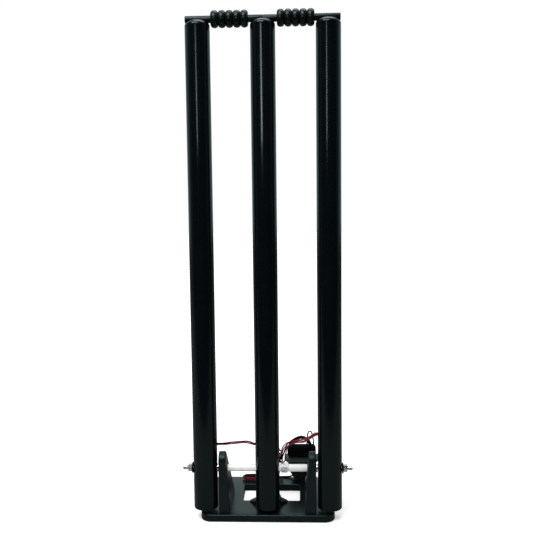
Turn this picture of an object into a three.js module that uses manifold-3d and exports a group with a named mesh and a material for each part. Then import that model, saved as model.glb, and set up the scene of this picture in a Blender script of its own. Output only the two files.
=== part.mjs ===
// A cricket wicket that springs back when it is hit. Three stumps hang on one pivot rod above a
// steel base plate, two bails lie on their tops, and a small control box stands behind them.
// Millimetres, +X to the right, +Y away from the bowler, +Z up.
// The origin is the middle of the base plate's underside.

import * as THREE from "three";
import { mergeVertices } from "three/addons/utils/BufferGeometryUtils.js";
import Module from "manifold-3d";

// Stumps
const STUMP_LENGTH = 711;
const STUMP_DIAMETER = 35.6;
const STUMP_SPACING = 92.5;
const STUMP_WALL = 2.4;
const FOOT_CLEARANCE = 5;

// Bails, which meet over the middle stump and end just inside the outer ones
const BAIL_BARREL = 52.8;
const BAIL_BARREL_GAP = 1.65;
const BAIL_END_INSET = 0.75;
const BAIL_END_GAP = 0.3;
const SPIGOT_DIAMETER = 10.4;
const BEAD_DIAMETER = 24.4;
const BEAD_COUNT = 5;

// Base plate and its window
const PLATE_WIDTH = 199;
const PLATE_DEPTH = 152;
const PLATE_THICKNESS = 11;
const PLATE_CORNER = 16;
const WINDOW_WIDTH = 89;
const WINDOW_DEPTH = 64;
const WINDOW_CORNER = 2.5;
const WINDOW_OFFSET = 3.2;
const FRONT_STRIP = 54;

// Pivot and the ears that carry it
const PIVOT_SETBACK = 19.5;
const PIVOT_HEIGHT = 65;
const ROD_DIAMETER = 6;
const ROD_TAIL = 7.8;
const PIVOT_TUBE_DIAMETER = 10.8;
const PIVOT_TUBE_WALL = 2.1;
const EAR_STUMP_GAP = 2.7;
const EAR_THICKNESS = 12;
const EAR_FRONT_REACH = 14;
const EAR_REAR_REACH = 68;

// Control box and the pedestal under it
const BOX_WIDTH = 46.8;
const BOX_DEPTH = 18;
const BOX_HEIGHT = 17;
const BOX_OFFSET = 51;
const TRAY_HEIGHT = 50.5;
const PEDESTAL_DEPTH = 15;
const PEDESTAL_OFFSET = 47.3;

// Clearances
const FIT = 0.2;
const RUNNING_GAP = 0.3;
const RUNNING_RADIAL = 0.25;
const OVERRUN = 2;

// Facets and the distance within which two points count as one
const ROUND_SIDES = 28;
const SMALL_SIDES = 16;
const HOLE_SIDES = 12;
const MERGE_DISTANCE = 1e-4;

// Places that follow from the sizes above
const stumpRadius = STUMP_DIAMETER / 2;
const boreRadius = stumpRadius - STUMP_WALL;
const rodRadius = ROD_DIAMETER / 2;
const rodHole = rodRadius + RUNNING_RADIAL;
const pivotTubeRadius = PIVOT_TUBE_DIAMETER / 2;
const spigotRadius = SPIGOT_DIAMETER / 2;
const plateRearY = PLATE_DEPTH / 2;
const pivotY = PIVOT_SETBACK - plateRearY;
const pivotZ = PLATE_THICKNESS + PIVOT_HEIGHT;
const footZ = FOOT_CLEARANCE - PIVOT_HEIGHT;
const topZ = footZ + STUMP_LENGTH;
const earOuter = STUMP_SPACING - stumpRadius - EAR_STUMP_GAP;
const earInner = earOuter - EAR_THICKNESS;
const earX = (earInner + earOuter) / 2;
const windowFrontY = FRONT_STRIP - plateRearY;
const windowRearY = windowFrontY + WINDOW_DEPTH;
const boxFrontY = plateRearY - BOX_DEPTH;
const pedestalRearY = plateRearY - FIT;
const pedestalFrontY = pedestalRearY - PEDESTAL_DEPTH;

const wasm = await Module();
wasm.setup();

// Solid modelling

function toSolid(geometry) {
  const bare = geometry.index ? geometry.toNonIndexed() : geometry.clone();
  bare.deleteAttribute("normal");
  bare.deleteAttribute("uv");
  const merged = mergeVertices(bare, MERGE_DISTANCE);
  return new wasm.Manifold(
    new wasm.Mesh({
      numProp: 3,
      vertProperties: merged.attributes.position.array,
      triVerts: new Uint32Array(merged.index.array),
    }),
  );
}

function toGeometry(solid) {
  const mesh = solid.getMesh();
  const geometry = new THREE.BufferGeometry();
  geometry.setAttribute("position", new THREE.BufferAttribute(new Float32Array(mesh.vertProperties), 3));
  geometry.setIndex(new THREE.BufferAttribute(new Uint32Array(mesh.triVerts), 1));
  geometry.computeVertexNormals();
  return geometry;
}

function cut(geometry, tools) {
  return toGeometry(tools.reduce((solid, tool) => solid.subtract(toSolid(tool)), toSolid(geometry)));
}

function join(geometries) {
  return toGeometry(geometries.map(toSolid).reduce((whole, next) => whole.add(next)));
}

function overlap(first, second) {
  return toGeometry(toSolid(first).intersect(toSolid(second)));
}

// Shapes that several pieces share

const AXES = {
  x: new THREE.Matrix4().makeRotationZ(-Math.PI / 2),
  y: new THREE.Matrix4(),
  z: new THREE.Matrix4().makeRotationX(Math.PI / 2),
};

function cylinder(radius, length, axis, sides) {
  return new THREE.CylinderGeometry(radius, radius, length, sides).applyMatrix4(AXES[axis]);
}

function box(low, high) {
  const size = high.map((value, i) => value - low[i]);
  return new THREE.BoxGeometry(...size).translate(...low.map((value, i) => value + size[i] / 2));
}

// Revolves [radius, height] points; the heights run along the named axis.
function turned(profile, axis, sides) {
  const points = profile.map(([radius, height]) => new THREE.Vector2(radius, height));
  return new THREE.LatheGeometry(points, sides).applyMatrix4(AXES[axis]);
}

function ring(outer, inner, low, high, axis, sides) {
  const profile = [
    [inner, low],
    [outer, low],
    [outer, high],
    [inner, high],
    [inner, low],
  ];
  return turned(profile, axis, sides);
}

function roundedRectangle(left, right, low, high, radius, Kind = THREE.Shape) {
  const shape = new Kind();
  shape.moveTo(left + radius, low);
  shape.lineTo(right - radius, low);
  shape.absarc(right - radius, low + radius, radius, -Math.PI / 2, 0, false);
  shape.lineTo(right, high - radius);
  shape.absarc(right - radius, high - radius, radius, 0, Math.PI / 2, false);
  shape.lineTo(left + radius, high);
  shape.absarc(left + radius, high - radius, radius, Math.PI / 2, Math.PI, false);
  shape.lineTo(left, low + radius);
  shape.absarc(left + radius, low + radius, radius, Math.PI, Math.PI * 1.5, false);
  return shape;
}

function polygon(points) {
  return new THREE.Shape(points.map(([u, v]) => new THREE.Vector2(u, v)));
}

function scaledPolygon(shares, width, height) {
  return polygon(shares.map(([u, v]) => [u * width, v * height]));
}

// Extrudes a shape from 0 to depth, with its outer edges eased by round.
function extruded(shape, depth, round, curveSegments) {
  return new THREE.ExtrudeGeometry(shape, {
    depth: depth - 2 * round,
    bevelEnabled: round > 0,
    bevelThickness: round,
    bevelSize: round,
    bevelOffset: -round,
    bevelSegments: 2,
    curveSegments,
  }).translate(0, 0, round);
}

// A shape drawn in Y and Z stands along X, and one drawn in X and Z stands along -Y.
const SIDE_VIEW = new THREE.Matrix4().makeBasis(
  new THREE.Vector3(0, 1, 0),
  new THREE.Vector3(0, 0, 1),
  new THREE.Vector3(1, 0, 0),
);
const FRONT_VIEW = new THREE.Matrix4().makeBasis(
  new THREE.Vector3(1, 0, 0),
  new THREE.Vector3(0, 0, 1),
  new THREE.Vector3(0, -1, 0),
);

// Materials

function finish(color, roughness, metalness) {
  return new THREE.MeshStandardMaterial({ color, roughness, metalness });
}

const gloss = finish(0x0b0e10, 0.22, 0);
const powderCoat = finish(0x141a1c, 0.35, 0.1);
const blackPlastic = finish(0x0d0f0f, 0.45, 0);
const greyPlastic = finish(0x8d9192, 0.5, 0);
const rubber = finish(0x0a0a0a, 0.8, 0);
const zinc = finish(0xd5d8da, 0.25, 1);
const springSteel = finish(0xb9bcc0, 0.3, 1);
const bronze = finish(0xa9814a, 0.35, 1);
const circuitGreen = finish(0x1f5a3a, 0.5, 0);
const cellWrap = finish(0x9ea3a8, 0.4, 0.3);
const redWire = finish(0xb01d33, 0.4, 0);
const blackWire = finish(0x0c0c0c, 0.45, 0);
const clearWire = finish(0xc9ccc8, 0.3, 0);

function piece(name, geometry, material) {
  const mesh = new THREE.Mesh(geometry, material);
  mesh.name = name;
  return mesh;
}

// Cords and wound pieces

function vector([x, y, z]) {
  return new THREE.Vector3(x, y, z);
}

function smooth(points) {
  return new THREE.CatmullRomCurve3(points, false, "centripetal");
}

// A plain cord: a round section carried along a smooth curve through its route's points.
function cord(route, diameter, steps) {
  const radius = diameter / 2;
  const section = new THREE.Shape();
  section.moveTo(radius, 0);
  for (let i = 1; i < CORD_SIDES; i++) {
    const turn = (i / CORD_SIDES) * Math.PI * 2;
    section.lineTo(radius * Math.cos(turn), radius * Math.sin(turn));
  }
  const extrudePath = smooth(route.map(vector));
  return new THREE.ExtrudeGeometry(section, { steps, bevelEnabled: false, extrudePath });
}

// An unbroken tube through many points, its section carried along without twisting.
function woundTube(points, diameter, sides) {
  const radius = diameter / 2;
  const tangents = points.map((point, i) => {
    const before = points[Math.max(i - 1, 0)];
    const after = points[Math.min(i + 1, points.length - 1)];
    return after.clone().sub(before).normalize();
  });
  const upright = Math.abs(tangents[0].z) > Math.SQRT1_2;
  const aside = upright ? new THREE.Vector3(1, 0, 0) : new THREE.Vector3(0, 0, 1);
  let normal = aside.cross(tangents[0]).normalize();
  const places = [];
  points.forEach((point, i) => {
    if (i > 0) {
      const carry = new THREE.Quaternion().setFromUnitVectors(tangents[i - 1], tangents[i]);
      normal = normal.clone().applyQuaternion(carry);
    }
    const across = tangents[i].clone().cross(normal);
    for (let k = 0; k < sides; k++) {
      const turn = (k / sides) * Math.PI * 2;
      const offset = normal.clone().multiplyScalar(Math.cos(turn) * radius);
      offset.addScaledVector(across, Math.sin(turn) * radius).add(point);
      places.push(offset.x, offset.y, offset.z);
    }
  });
  const index = [];
  for (let i = 0; i + 1 < points.length; i++)
    for (let k = 0; k < sides; k++) {
      const here = i * sides + k;
      const beside = i * sides + ((k + 1) % sides);
      index.push(here, beside, beside + sides, here, beside + sides, here + sides);
    }
  const last = (points.length - 1) * sides;
  for (let k = 1; k + 1 < sides; k++) {
    index.push(0, k + 1, k);
    index.push(last, last + k, last + k + 1);
  }
  const geometry = new THREE.BufferGeometry();
  geometry.setAttribute("position", new THREE.Float32BufferAttribute(places, 3));
  geometry.setIndex(index);
  geometry.computeVertexNormals();
  return geometry;
}

// Prints the least gap between stretches of one wound tube that lie at least so many points apart.
function reportLeastGap(name, points, diameter, apart) {
  let least = Infinity;
  for (let i = 0; i < points.length; i++)
    for (let k = i + apart; k < points.length; k++) {
      const stretch = new THREE.Line3(points[k], points[k - 1]);
      const near = stretch.closestPointToPoint(points[i], true, new THREE.Vector3());
      least = Math.min(least, near.distanceTo(points[i]));
    }
  console.log(`${name}: least gap to itself ${(least - diameter).toFixed(2)} mm`);
}

const CORD_SIDES = 8;
const CURL_STEPS = 8;
const CURL_SIDES = 5;
const LOOP_STEPS = 24;
const LOOP_SIDES = 6;

// Countersunk screws, which hold the ears, the stop block and the pedestal from under the plate

const SCREW_DIAMETER = 6;
const SCREW_HEAD_DIAMETER = 12;
const SCREW_HEAD_DEPTH = 3.3;
const SCREW_LENGTH = 24;
const SCREW_SINK = 0.3;
const STOP_SCREW_LENGTH = 20;
const EAR_SCREW_INSET = 1;
const EAR_SCREW_REACH_SHARES = [-0.05, 0.72];
const STOP_BLOCK_DEPTH = 19;
const STOP_SCREW_DEPTH_SHARE = 0.25;

const earScrewX = earX - EAR_SCREW_INSET;
const earScrewY = EAR_SCREW_REACH_SHARES.map((share) => pivotY + share * EAR_REAR_REACH);
const stopRearY = windowFrontY - RUNNING_GAP;
const stopScrewPlace = [0, stopRearY - STOP_BLOCK_DEPTH * STOP_SCREW_DEPTH_SHARE];
const pedestalScrewPlace = [PEDESTAL_OFFSET, (pedestalRearY + pedestalFrontY) / 2];
const earScrewPlaces = earScrewY.flatMap((y) => [-earScrewX, earScrewX].map((x) => [x, y]));

// A screw stands head down, from its head's face up to its tip; grow makes the hole for it.
function screwShape(length, grow) {
  const head = SCREW_HEAD_DIAMETER / 2 + grow;
  const shank = SCREW_DIAMETER / 2 + grow;
  const profile = [
    [0, 0],
    [head, 0],
    [shank, SCREW_HEAD_DEPTH],
    [shank, length],
    [0, length],
  ];
  return turned(profile, "z", HOLE_SIDES);
}

function screwHole([x, y], length) {
  return screwShape(length + OVERRUN, FIT).translate(x, y, SCREW_SINK);
}

function screwMouth([x, y]) {
  const head = SCREW_HEAD_DIAMETER / 2 + FIT;
  return cylinder(head, SCREW_SINK * 2, "z", HOLE_SIDES).translate(x, y, 0);
}

function screw(name, [x, y], length) {
  const fixing = piece(name, screwShape(length, 0), zinc);
  fixing.position.set(x, y, SCREW_SINK);
  return fixing;
}

// Base plate: thick steel with a window cut through it, countersunk from below for its screws

const PLATE_EDGE_ROUND = 1.2;
const PLATE_CORNER_STEPS = 5;

function basePlate() {
  const half = PLATE_WIDTH / 2;
  const outline = roundedRectangle(-half, half, -plateRearY, plateRearY, PLATE_CORNER);
  const left = WINDOW_OFFSET - WINDOW_WIDTH / 2;
  const opening = [left, left + WINDOW_WIDTH, windowFrontY, windowRearY, WINDOW_CORNER];
  outline.holes.push(roundedRectangle(...opening, THREE.Path));
  const slab = extruded(outline, PLATE_THICKNESS, PLATE_EDGE_ROUND, PLATE_CORNER_STEPS);
  const long = [...earScrewPlaces, pedestalScrewPlace];
  const holes = long.map((place) => screwHole(place, SCREW_LENGTH));
  const mouths = [...long, stopScrewPlace].map(screwMouth);
  return cut(slab, [...holes, screwHole(stopScrewPlace, STOP_SCREW_LENGTH), ...mouths]);
}

// Ears: cast brackets that carry the pivot, upright at the front with a long slope at the rear

const EAR_TOP_RISE = 25;
const EAR_TOP_RADIUS = 13;
const EAR_TOE_HEIGHT = 6;
const EAR_EDGE_ROUND = 1.8;
const EAR_DRAFT_SHARE = 0.07;
const EAR_CURVE_STEPS = 10;
const BUSH_DIAMETER = 12;
const BUSH_PROUD = 0.6;

// The outline in Y and Z about the pivot, with the rear slope tangent to the rounded top.
function earOutline() {
  const centreY = EAR_TOP_RADIUS - EAR_FRONT_REACH;
  const centreZ = EAR_TOP_RISE - EAR_TOP_RADIUS;
  const toeZ = EAR_TOE_HEIGHT - PIVOT_HEIGHT;
  const away = Math.hypot(EAR_REAR_REACH - centreY, toeZ - centreZ);
  const bearing = Math.atan2(toeZ - centreZ, EAR_REAR_REACH - centreY);
  const slopeAngle = bearing + Math.acos(EAR_TOP_RADIUS / away);
  const soleZ = -PIVOT_HEIGHT - EAR_EDGE_ROUND - OVERRUN;
  const shape = new THREE.Shape();
  shape.moveTo(-EAR_FRONT_REACH, soleZ);
  shape.lineTo(EAR_REAR_REACH, soleZ);
  shape.lineTo(EAR_REAR_REACH, toeZ);
  shape.absarc(centreY, centreZ, EAR_TOP_RADIUS, slopeAngle, Math.PI, false);
  return shape;
}

// side is -1 for the left ear and 1 for the right one; the inner face leans inwards to the foot.
function ear(side) {
  const geometry = extruded(earOutline(), EAR_THICKNESS, EAR_EDGE_ROUND, EAR_CURVE_STEPS);
  geometry.applyMatrix4(SIDE_VIEW).translate(-EAR_THICKNESS / 2, 0, 0);
  const places = geometry.getAttribute("position");
  for (let i = 0; i < places.count; i++) {
    const inward = side * places.getX(i) < 0;
    const lean = inward ? EAR_DRAFT_SHARE * places.getZ(i) * side : 0;
    places.setX(i, places.getX(i) + lean);
  }
  const wide = EAR_THICKNESS + EAR_DRAFT_SHARE * PIVOT_HEIGHT + OVERRUN;
  const reach = EAR_REAR_REACH + OVERRUN;
  const under = box([-wide, -reach, -PIVOT_HEIGHT * 2], [wide, reach, -PIVOT_HEIGHT]);
  const bushHole = cylinder(BUSH_DIAMETER / 2 + FIT, wide * 2, "x", SMALL_SIDES);
  const screwX = side * (earScrewX - earX);
  const screwPlaces = earScrewY.map((y) => [screwX, y - pivotY]);
  const drilled = screwPlaces.map((place) => screwHole(place, SCREW_LENGTH).translate(0, 0, -pivotZ));
  return cut(geometry, [under, bushHole, ...drilled]);
}

function bush(side) {
  const outerEnd = (side * EAR_THICKNESS) / 2;
  const innerEnd = -outerEnd - side * BUSH_PROUD;
  const low = Math.min(outerEnd, innerEnd);
  const high = Math.max(outerEnd, innerEnd);
  return ring(BUSH_DIAMETER / 2, rodHole, low, high, "x", SMALL_SIDES);
}

// Pivot: a threaded rod in a bright tube, with spacers outside the ears and nuts at the ends

const ROD_CHAMFER = 0.8;
const SPACER_DIAMETER = 12;
const WASHER_DIAMETER = 16;
const WASHER_THICKNESS = 1.8;
const NUT_WIDTH = 10;
const NUT_HEIGHT = 5.5;
const NUT_CHAMFER_SHARE = 0.6;

const tubeHalf = earInner - BUSH_PROUD - RUNNING_GAP;
const washerLowX = STUMP_SPACING + stumpRadius + RUNNING_GAP;
const nutLowX = washerLowX + WASHER_THICKNESS + RUNNING_GAP;

function pivotRod() {
  const half = nutLowX + NUT_HEIGHT + ROD_TAIL;
  const tip = rodRadius - ROD_CHAMFER;
  const shoulder = half - ROD_CHAMFER;
  const profile = [
    [0, -half],
    [tip, -half],
    [rodRadius, -shoulder],
    [rodRadius, shoulder],
    [tip, half],
    [0, half],
  ];
  return turned(profile, "x", SMALL_SIDES);
}

function pivotTube() {
  const bore = pivotTubeRadius - PIVOT_TUBE_WALL;
  const tube = ring(pivotTubeRadius, bore, -tubeHalf, tubeHalf, "x", SMALL_SIDES);
  const tangHole = cylinder(SPRING_WIRE / 2 + FIT, pivotTubeRadius, "y", HOLE_SIDES);
  return cut(tube, [tangHole.translate(springOuterX, -pivotTubeRadius, 0)]);
}

function spacer() {
  const low = earOuter + RUNNING_GAP;
  const high = STUMP_SPACING - stumpRadius - RUNNING_GAP;
  return ring(SPACER_DIAMETER / 2, rodHole, low, high, "x", SMALL_SIDES);
}

function washer() {
  const high = washerLowX + WASHER_THICKNESS;
  return ring(WASHER_DIAMETER / 2, rodHole, washerLowX, high, "x", SMALL_SIDES);
}

function nut() {
  const high = nutLowX + NUT_HEIGHT;
  const flat = NUT_WIDTH / 2;
  const corner = NUT_WIDTH / Math.sqrt(3);
  const chamfer = (corner - flat) * NUT_CHAMFER_SHARE;
  const hexagon = cylinder(corner, NUT_HEIGHT, "x", 6).translate(nutLowX + NUT_HEIGHT / 2, 0, 0);
  const turning = [
    [0, nutLowX],
    [flat, nutLowX],
    [corner, nutLowX + chamfer],
    [corner, high - chamfer],
    [flat, high],
    [0, high],
  ];
  const rounded = overlap(hexagon, turned(turning, "x", ROUND_SIDES));
  const thread = cylinder(rodHole, NUT_HEIGHT + OVERRUN, "x", SMALL_SIDES);
  return cut(rounded, [thread.translate(nutLowX + NUT_HEIGHT / 2, 0, 0)]);
}

// Return spring: a torsion spring on the pivot tube, just right of the middle stump

const SPRING_WIRE = 1.5;
const SPRING_TURNS = 4.5;
const SPRING_SIDE_GAP = 2.4;
const SPRING_COIL_LENGTH = 10.4;
const SPRING_COIL_RADIUS = 6.7;
const SPRING_TANG_DEPTH = 0.7;
const SPRING_FOOT_X = 12;
const SPRING_FOOT_Y = 27;
const SPRING_LEG_SEAT = 4;
const SPRING_LEG_SHARES = [
  [0.95, 0.5, 0.18],
  [0.82, 0.84, 0.34],
  [0.68, 0.98, 0.52],
];

const springInnerX = stumpRadius + SPRING_SIDE_GAP;
const springOuterX = springInnerX + SPRING_COIL_LENGTH;

// From the tang in the tube's wall, along the turns, then down the leg into the stop block.
function springPoints() {
  const points = [new THREE.Vector3(springOuterX, -pivotTubeRadius + SPRING_TANG_DEPTH, 0)];
  const steps = Math.round(SPRING_TURNS * CURL_STEPS);
  for (let i = 0; i <= steps; i++) {
    const share = i / steps;
    const turn = Math.PI + share * SPRING_TURNS * Math.PI * 2;
    const y = SPRING_COIL_RADIUS * Math.cos(turn);
    const z = -SPRING_COIL_RADIUS * Math.sin(turn);
    points.push(new THREE.Vector3(springOuterX - share * SPRING_COIL_LENGTH, y, z));
  }
  const seatTop = STOP_BLOCK_HEIGHT - PIVOT_HEIGHT;
  for (const [acrossShare, backShare, downShare] of SPRING_LEG_SHARES) {
    const [x, y, z] = [springInnerX * acrossShare, SPRING_FOOT_Y * backShare, seatTop * downShare];
    points.push(new THREE.Vector3(x, y, z));
  }
  points.push(new THREE.Vector3(SPRING_FOOT_X, SPRING_FOOT_Y, seatTop + SPRING_LEG_SEAT));
  points.push(new THREE.Vector3(SPRING_FOOT_X, SPRING_FOOT_Y, seatTop - SPRING_LEG_SEAT + FIT));
  return points;
}

function returnSpring() {
  const points = springPoints();
  reportLeastGap("return_spring", points, SPRING_WIRE, CURL_STEPS / 2 + 1);
  return woundTube(points, SPRING_WIRE, CURL_SIDES);
}

// Stop block: a rubber bumper behind the middle stump's foot, with sloping shoulders

const STOP_BLOCK_WIDTH = 58;
const STOP_BLOCK_HEIGHT = 16;
const STOP_FRONT_SHARES = [
  [-1, 0],
  [1, 0],
  [1, 0.06],
  [0.66, 0.36],
  [0.52, 1],
  [-0.52, 1],
  [-0.66, 0.36],
  [-1, 0.06],
];
const STOP_PLAN_SHARES = [
  [-0.6, -1],
  [0.6, -1],
  [1, -0.28],
  [1, 0],
  [-1, 0],
  [-1, -0.28],
];

function stopBlock() {
  const half = STOP_BLOCK_WIDTH / 2;
  const front = scaledPolygon(STOP_FRONT_SHARES, half, STOP_BLOCK_HEIGHT);
  const upright = extruded(front, STOP_BLOCK_DEPTH, 0, 1).applyMatrix4(FRONT_VIEW);
  const plan = extruded(scaledPolygon(STOP_PLAN_SHARES, half, STOP_BLOCK_DEPTH), STOP_BLOCK_HEIGHT, 0, 1);
  const block = overlap(upright, plan).translate(0, stopRearY, PLATE_THICKNESS);
  const seat = cylinder(stumpRadius + RUNNING_GAP, STOP_BLOCK_HEIGHT * 4, "z", ROUND_SIDES);
  seat.translate(0, pivotY, PLATE_THICKNESS);
  const legHole = cylinder(SPRING_WIRE / 2 + FIT, SPRING_LEG_SEAT * 2, "z", HOLE_SIDES);
  legHole.translate(SPRING_FOOT_X, pivotY + SPRING_FOOT_Y, PLATE_THICKNESS + STOP_BLOCK_HEIGHT);
  return cut(block, [seat, legHole, screwHole(stopScrewPlace, STOP_SCREW_LENGTH)]);
}

// Stumps: round tubes, each with a domed cap, a foot plug and a light strip inside

const CAP_DOME_RISE = 10;
const CAP_RIM_SHARE = 0.06;
const CAP_DOME_POWER = 2.1;
const CAP_DOME_STEPS = 6;
const CAP_PLUG_DEPTH = 18;
const GROOVE_DEPTH = 5.2;
const GROOVE_CLEARANCE = 0.4;
const BAIL_REST_GAP = 0.2;
const PLUG_FLANGE = 3;
const PLUG_DEPTH = 14;
const PLUG_CHAMFER = 1;
const LINK_HOLE_RADIUS = 2.7;
const PIGTAIL_HOLE_RADIUS = 1.5;
const LEFT_LINK_HEIGHT = 36;
const RIGHT_LINK_LOW_HEIGHT = 10;
const RIGHT_LINK_HIGH_HEIGHT = 52;
const PIGTAIL_EXIT_HEIGHT = 34;
const STRIP_WIDTH = 11;
const STRIP_THICKNESS = 1.6;
const STRIP_LOW_HEIGHT = 62;
const STRIP_SEAT = 8;
const LAMP_COUNT = 9;
const LAMP_SIZE = 5;
const LAMP_HEIGHT = 1.5;

const tubeTopZ = topZ - CAP_DOME_RISE;
const tubeLowZ = footZ + PLUG_FLANGE;
const plugRadius = boreRadius - FIT;
const bailAxisZ = topZ - GROOVE_DEPTH + BAIL_REST_GAP + spigotRadius;

// A hole in a stump's wall, at an angle about the stump and a height above the pivot.
function wireHole(radius, angle, height) {
  const drill = cylinder(radius, stumpRadius, "x", HOLE_SIDES);
  return drill.translate(stumpRadius, 0, 0).rotateZ(angle).translate(0, 0, height);
}

// The groove for the bails, with its floor at a height below the stump's top.
function bailGroove(topHeight) {
  const radius = spigotRadius + GROOVE_CLEARANCE;
  const groove = cylinder(radius, STUMP_DIAMETER + OVERRUN, "x", ROUND_SIDES);
  return groove.translate(0, 0, topHeight - GROOVE_DEPTH + radius);
}

function stumpTube(crossHoleRadius, wireHoles) {
  const tube = ring(stumpRadius, boreRadius, tubeLowZ, tubeTopZ, "z", ROUND_SIDES);
  const crossHole = cylinder(crossHoleRadius, STUMP_DIAMETER + OVERRUN, "x", SMALL_SIDES);
  return cut(tube, [crossHole, ...wireHoles]);
}

// The dome is a low superellipse, so its shoulder is a little fuller than an ellipse.
function stumpCap() {
  const rim = CAP_DOME_RISE * CAP_RIM_SHARE;
  const profile = [
    [0, -CAP_PLUG_DEPTH],
    [plugRadius, -CAP_PLUG_DEPTH],
    [plugRadius, 0],
    [stumpRadius, 0],
  ];
  for (let i = 0; i <= CAP_DOME_STEPS; i++) {
    const turn = (i / CAP_DOME_STEPS) * (Math.PI / 2);
    const across = i === CAP_DOME_STEPS ? 0 : Math.cos(turn) ** (2 / CAP_DOME_POWER);
    const up = Math.sin(turn) ** (2 / CAP_DOME_POWER);
    profile.push([stumpRadius * across, rim + (CAP_DOME_RISE - rim) * up]);
  }
  const halfSlot = STRIP_WIDTH / 2 + FIT;
  const slotFace = STRIP_THICKNESS / 2 + FIT;
  const slotLow = -CAP_PLUG_DEPTH - OVERRUN;
  const slotHigh = STRIP_SEAT - CAP_PLUG_DEPTH;
  const slot = box([-halfSlot, -slotFace, slotLow], [halfSlot, slotFace, slotHigh]);
  return cut(turned(profile, "z", ROUND_SIDES), [bailGroove(CAP_DOME_RISE), slot]);
}

function footPlug() {
  const high = PLUG_FLANGE + PLUG_DEPTH;
  const profile = [
    [0, 0],
    [stumpRadius - PLUG_CHAMFER, 0],
    [stumpRadius, PLUG_CHAMFER],
    [stumpRadius, PLUG_FLANGE],
    [plugRadius, PLUG_FLANGE],
    [plugRadius, high],
    [0, high],
  ];
  return turned(profile, "z", ROUND_SIDES);
}

function lightStrip() {
  const high = tubeTopZ - CAP_PLUG_DEPTH + STRIP_SEAT - FIT;
  const half = STRIP_WIDTH / 2;
  const face = STRIP_THICKNESS / 2;
  const board = box([-half, -face, STRIP_LOW_HEIGHT], [half, face, high]);
  const usable = high - STRIP_LOW_HEIGHT - STRIP_SEAT * 3;
  const lamps = [];
  for (let i = 0; i < LAMP_COUNT; i++) {
    const z = STRIP_LOW_HEIGHT + STRIP_SEAT + (usable * i) / (LAMP_COUNT - 1);
    const low = [-LAMP_SIZE / 2, -face - LAMP_HEIGHT, z - LAMP_SIZE / 2];
    lamps.push(box(low, [LAMP_SIZE / 2, 0, z + LAMP_SIZE / 2]));
  }
  return join([board, ...lamps]);
}

// Bails: turned pieces with a beaded barrel between a long and a short spigot

const BEAD_VALLEY_SHARE = 0.68;
const BEAD_STEP_SHARES = [0.1, 0.5, 0.9, 1];
const BAIL_CHAMFER = 0.7;
const BAIL_SIDES = 18;

const bailOuterX = STUMP_SPACING + stumpRadius - BAIL_END_INSET;
const bailLength = bailOuterX - BAIL_END_GAP / 2;
const longSpigot = bailOuterX - (STUMP_SPACING - stumpRadius - BAIL_BARREL_GAP);

// The heights run from the long spigot's end, at 0, to the short spigot's end.
function bail() {
  const beadRadius = BEAD_DIAMETER / 2;
  const valley = beadRadius * BEAD_VALLEY_SHARE;
  const pitch = BAIL_BARREL / BEAD_COUNT;
  const barrelEnd = longSpigot + BAIL_BARREL;
  const chamfered = spigotRadius - BAIL_CHAMFER;
  const profile = [
    [0, 0],
    [chamfered, 0],
    [spigotRadius, BAIL_CHAMFER],
    [spigotRadius, longSpigot],
    [valley, longSpigot],
  ];
  for (let bead = 0; bead < BEAD_COUNT; bead++)
    for (const share of BEAD_STEP_SHARES) {
      const swell = Math.sqrt(1 - (2 * share - 1) ** 2);
      profile.push([valley + (beadRadius - valley) * swell, longSpigot + (bead + share) * pitch]);
    }
  profile.push([spigotRadius, barrelEnd]);
  profile.push([spigotRadius, bailLength - BAIL_CHAMFER]);
  profile.push([chamfered, bailLength]);
  profile.push([0, bailLength]);
  return turned(profile, "x", BAIL_SIDES);
}

// Pedestal: a moulded post that widens upwards to a tray, with a gusset under the tray's front

const PEDESTAL_SHARES = [
  [-0.34, 0],
  [0.34, 0],
  [0.42, 0.12],
  [0.72, 0.42],
  [0.84, 1],
  [-0.84, 1],
  [-0.72, 0.42],
  [-0.42, 0.12],
];
const TRAY_THICKNESS = 4;
const TRAY_OVERHANG = 19.5;
const TRAY_SIDE = 5;
const TRAY_CHAMFER_WIDTH = 9.4;
const TRAY_CHAMFER_DEPTH = 17;
const GUSSET_THICKNESS = 5;
const GUSSET_SET_BACK = 4;
const GUSSET_DROP_SHARE = 0.6;
const LEAD_HOLE_RADIUS = 2.4;
const LEAD_HOLE_DEPTH = 4;
const LEAD_HOLE_HEIGHT = 3.8;
const LEAD_HOLE_SETBACK = 5;

const leadEntryY = pedestalRearY - LEAD_HOLE_SETBACK;
const leadEntryZ = PLATE_THICKNESS + LEAD_HOLE_HEIGHT;
const pedestalFootX = PEDESTAL_OFFSET - (PEDESTAL_SHARES[1][0] * BOX_WIDTH) / 2;

function trayPlan() {
  const left = BOX_OFFSET - BOX_WIDTH / 2 - TRAY_SIDE;
  const right = BOX_OFFSET + BOX_WIDTH / 2 + TRAY_SIDE;
  const front = boxFrontY - TRAY_OVERHANG;
  return polygon([
    [left + TRAY_CHAMFER_WIDTH, front],
    [right - TRAY_CHAMFER_WIDTH, front],
    [right, front + TRAY_CHAMFER_DEPTH],
    [right, plateRearY],
    [left, plateRearY],
    [left, front + TRAY_CHAMFER_DEPTH],
  ]);
}

function gussetOutline(underTray) {
  const rear = pedestalFrontY + GUSSET_SET_BACK;
  const front = boxFrontY - TRAY_OVERHANG + GUSSET_SET_BACK;
  return polygon([
    [front, underTray],
    [rear, underTray - (underTray - PLATE_THICKNESS) * GUSSET_DROP_SHARE],
    [rear, underTray],
  ]);
}

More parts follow.
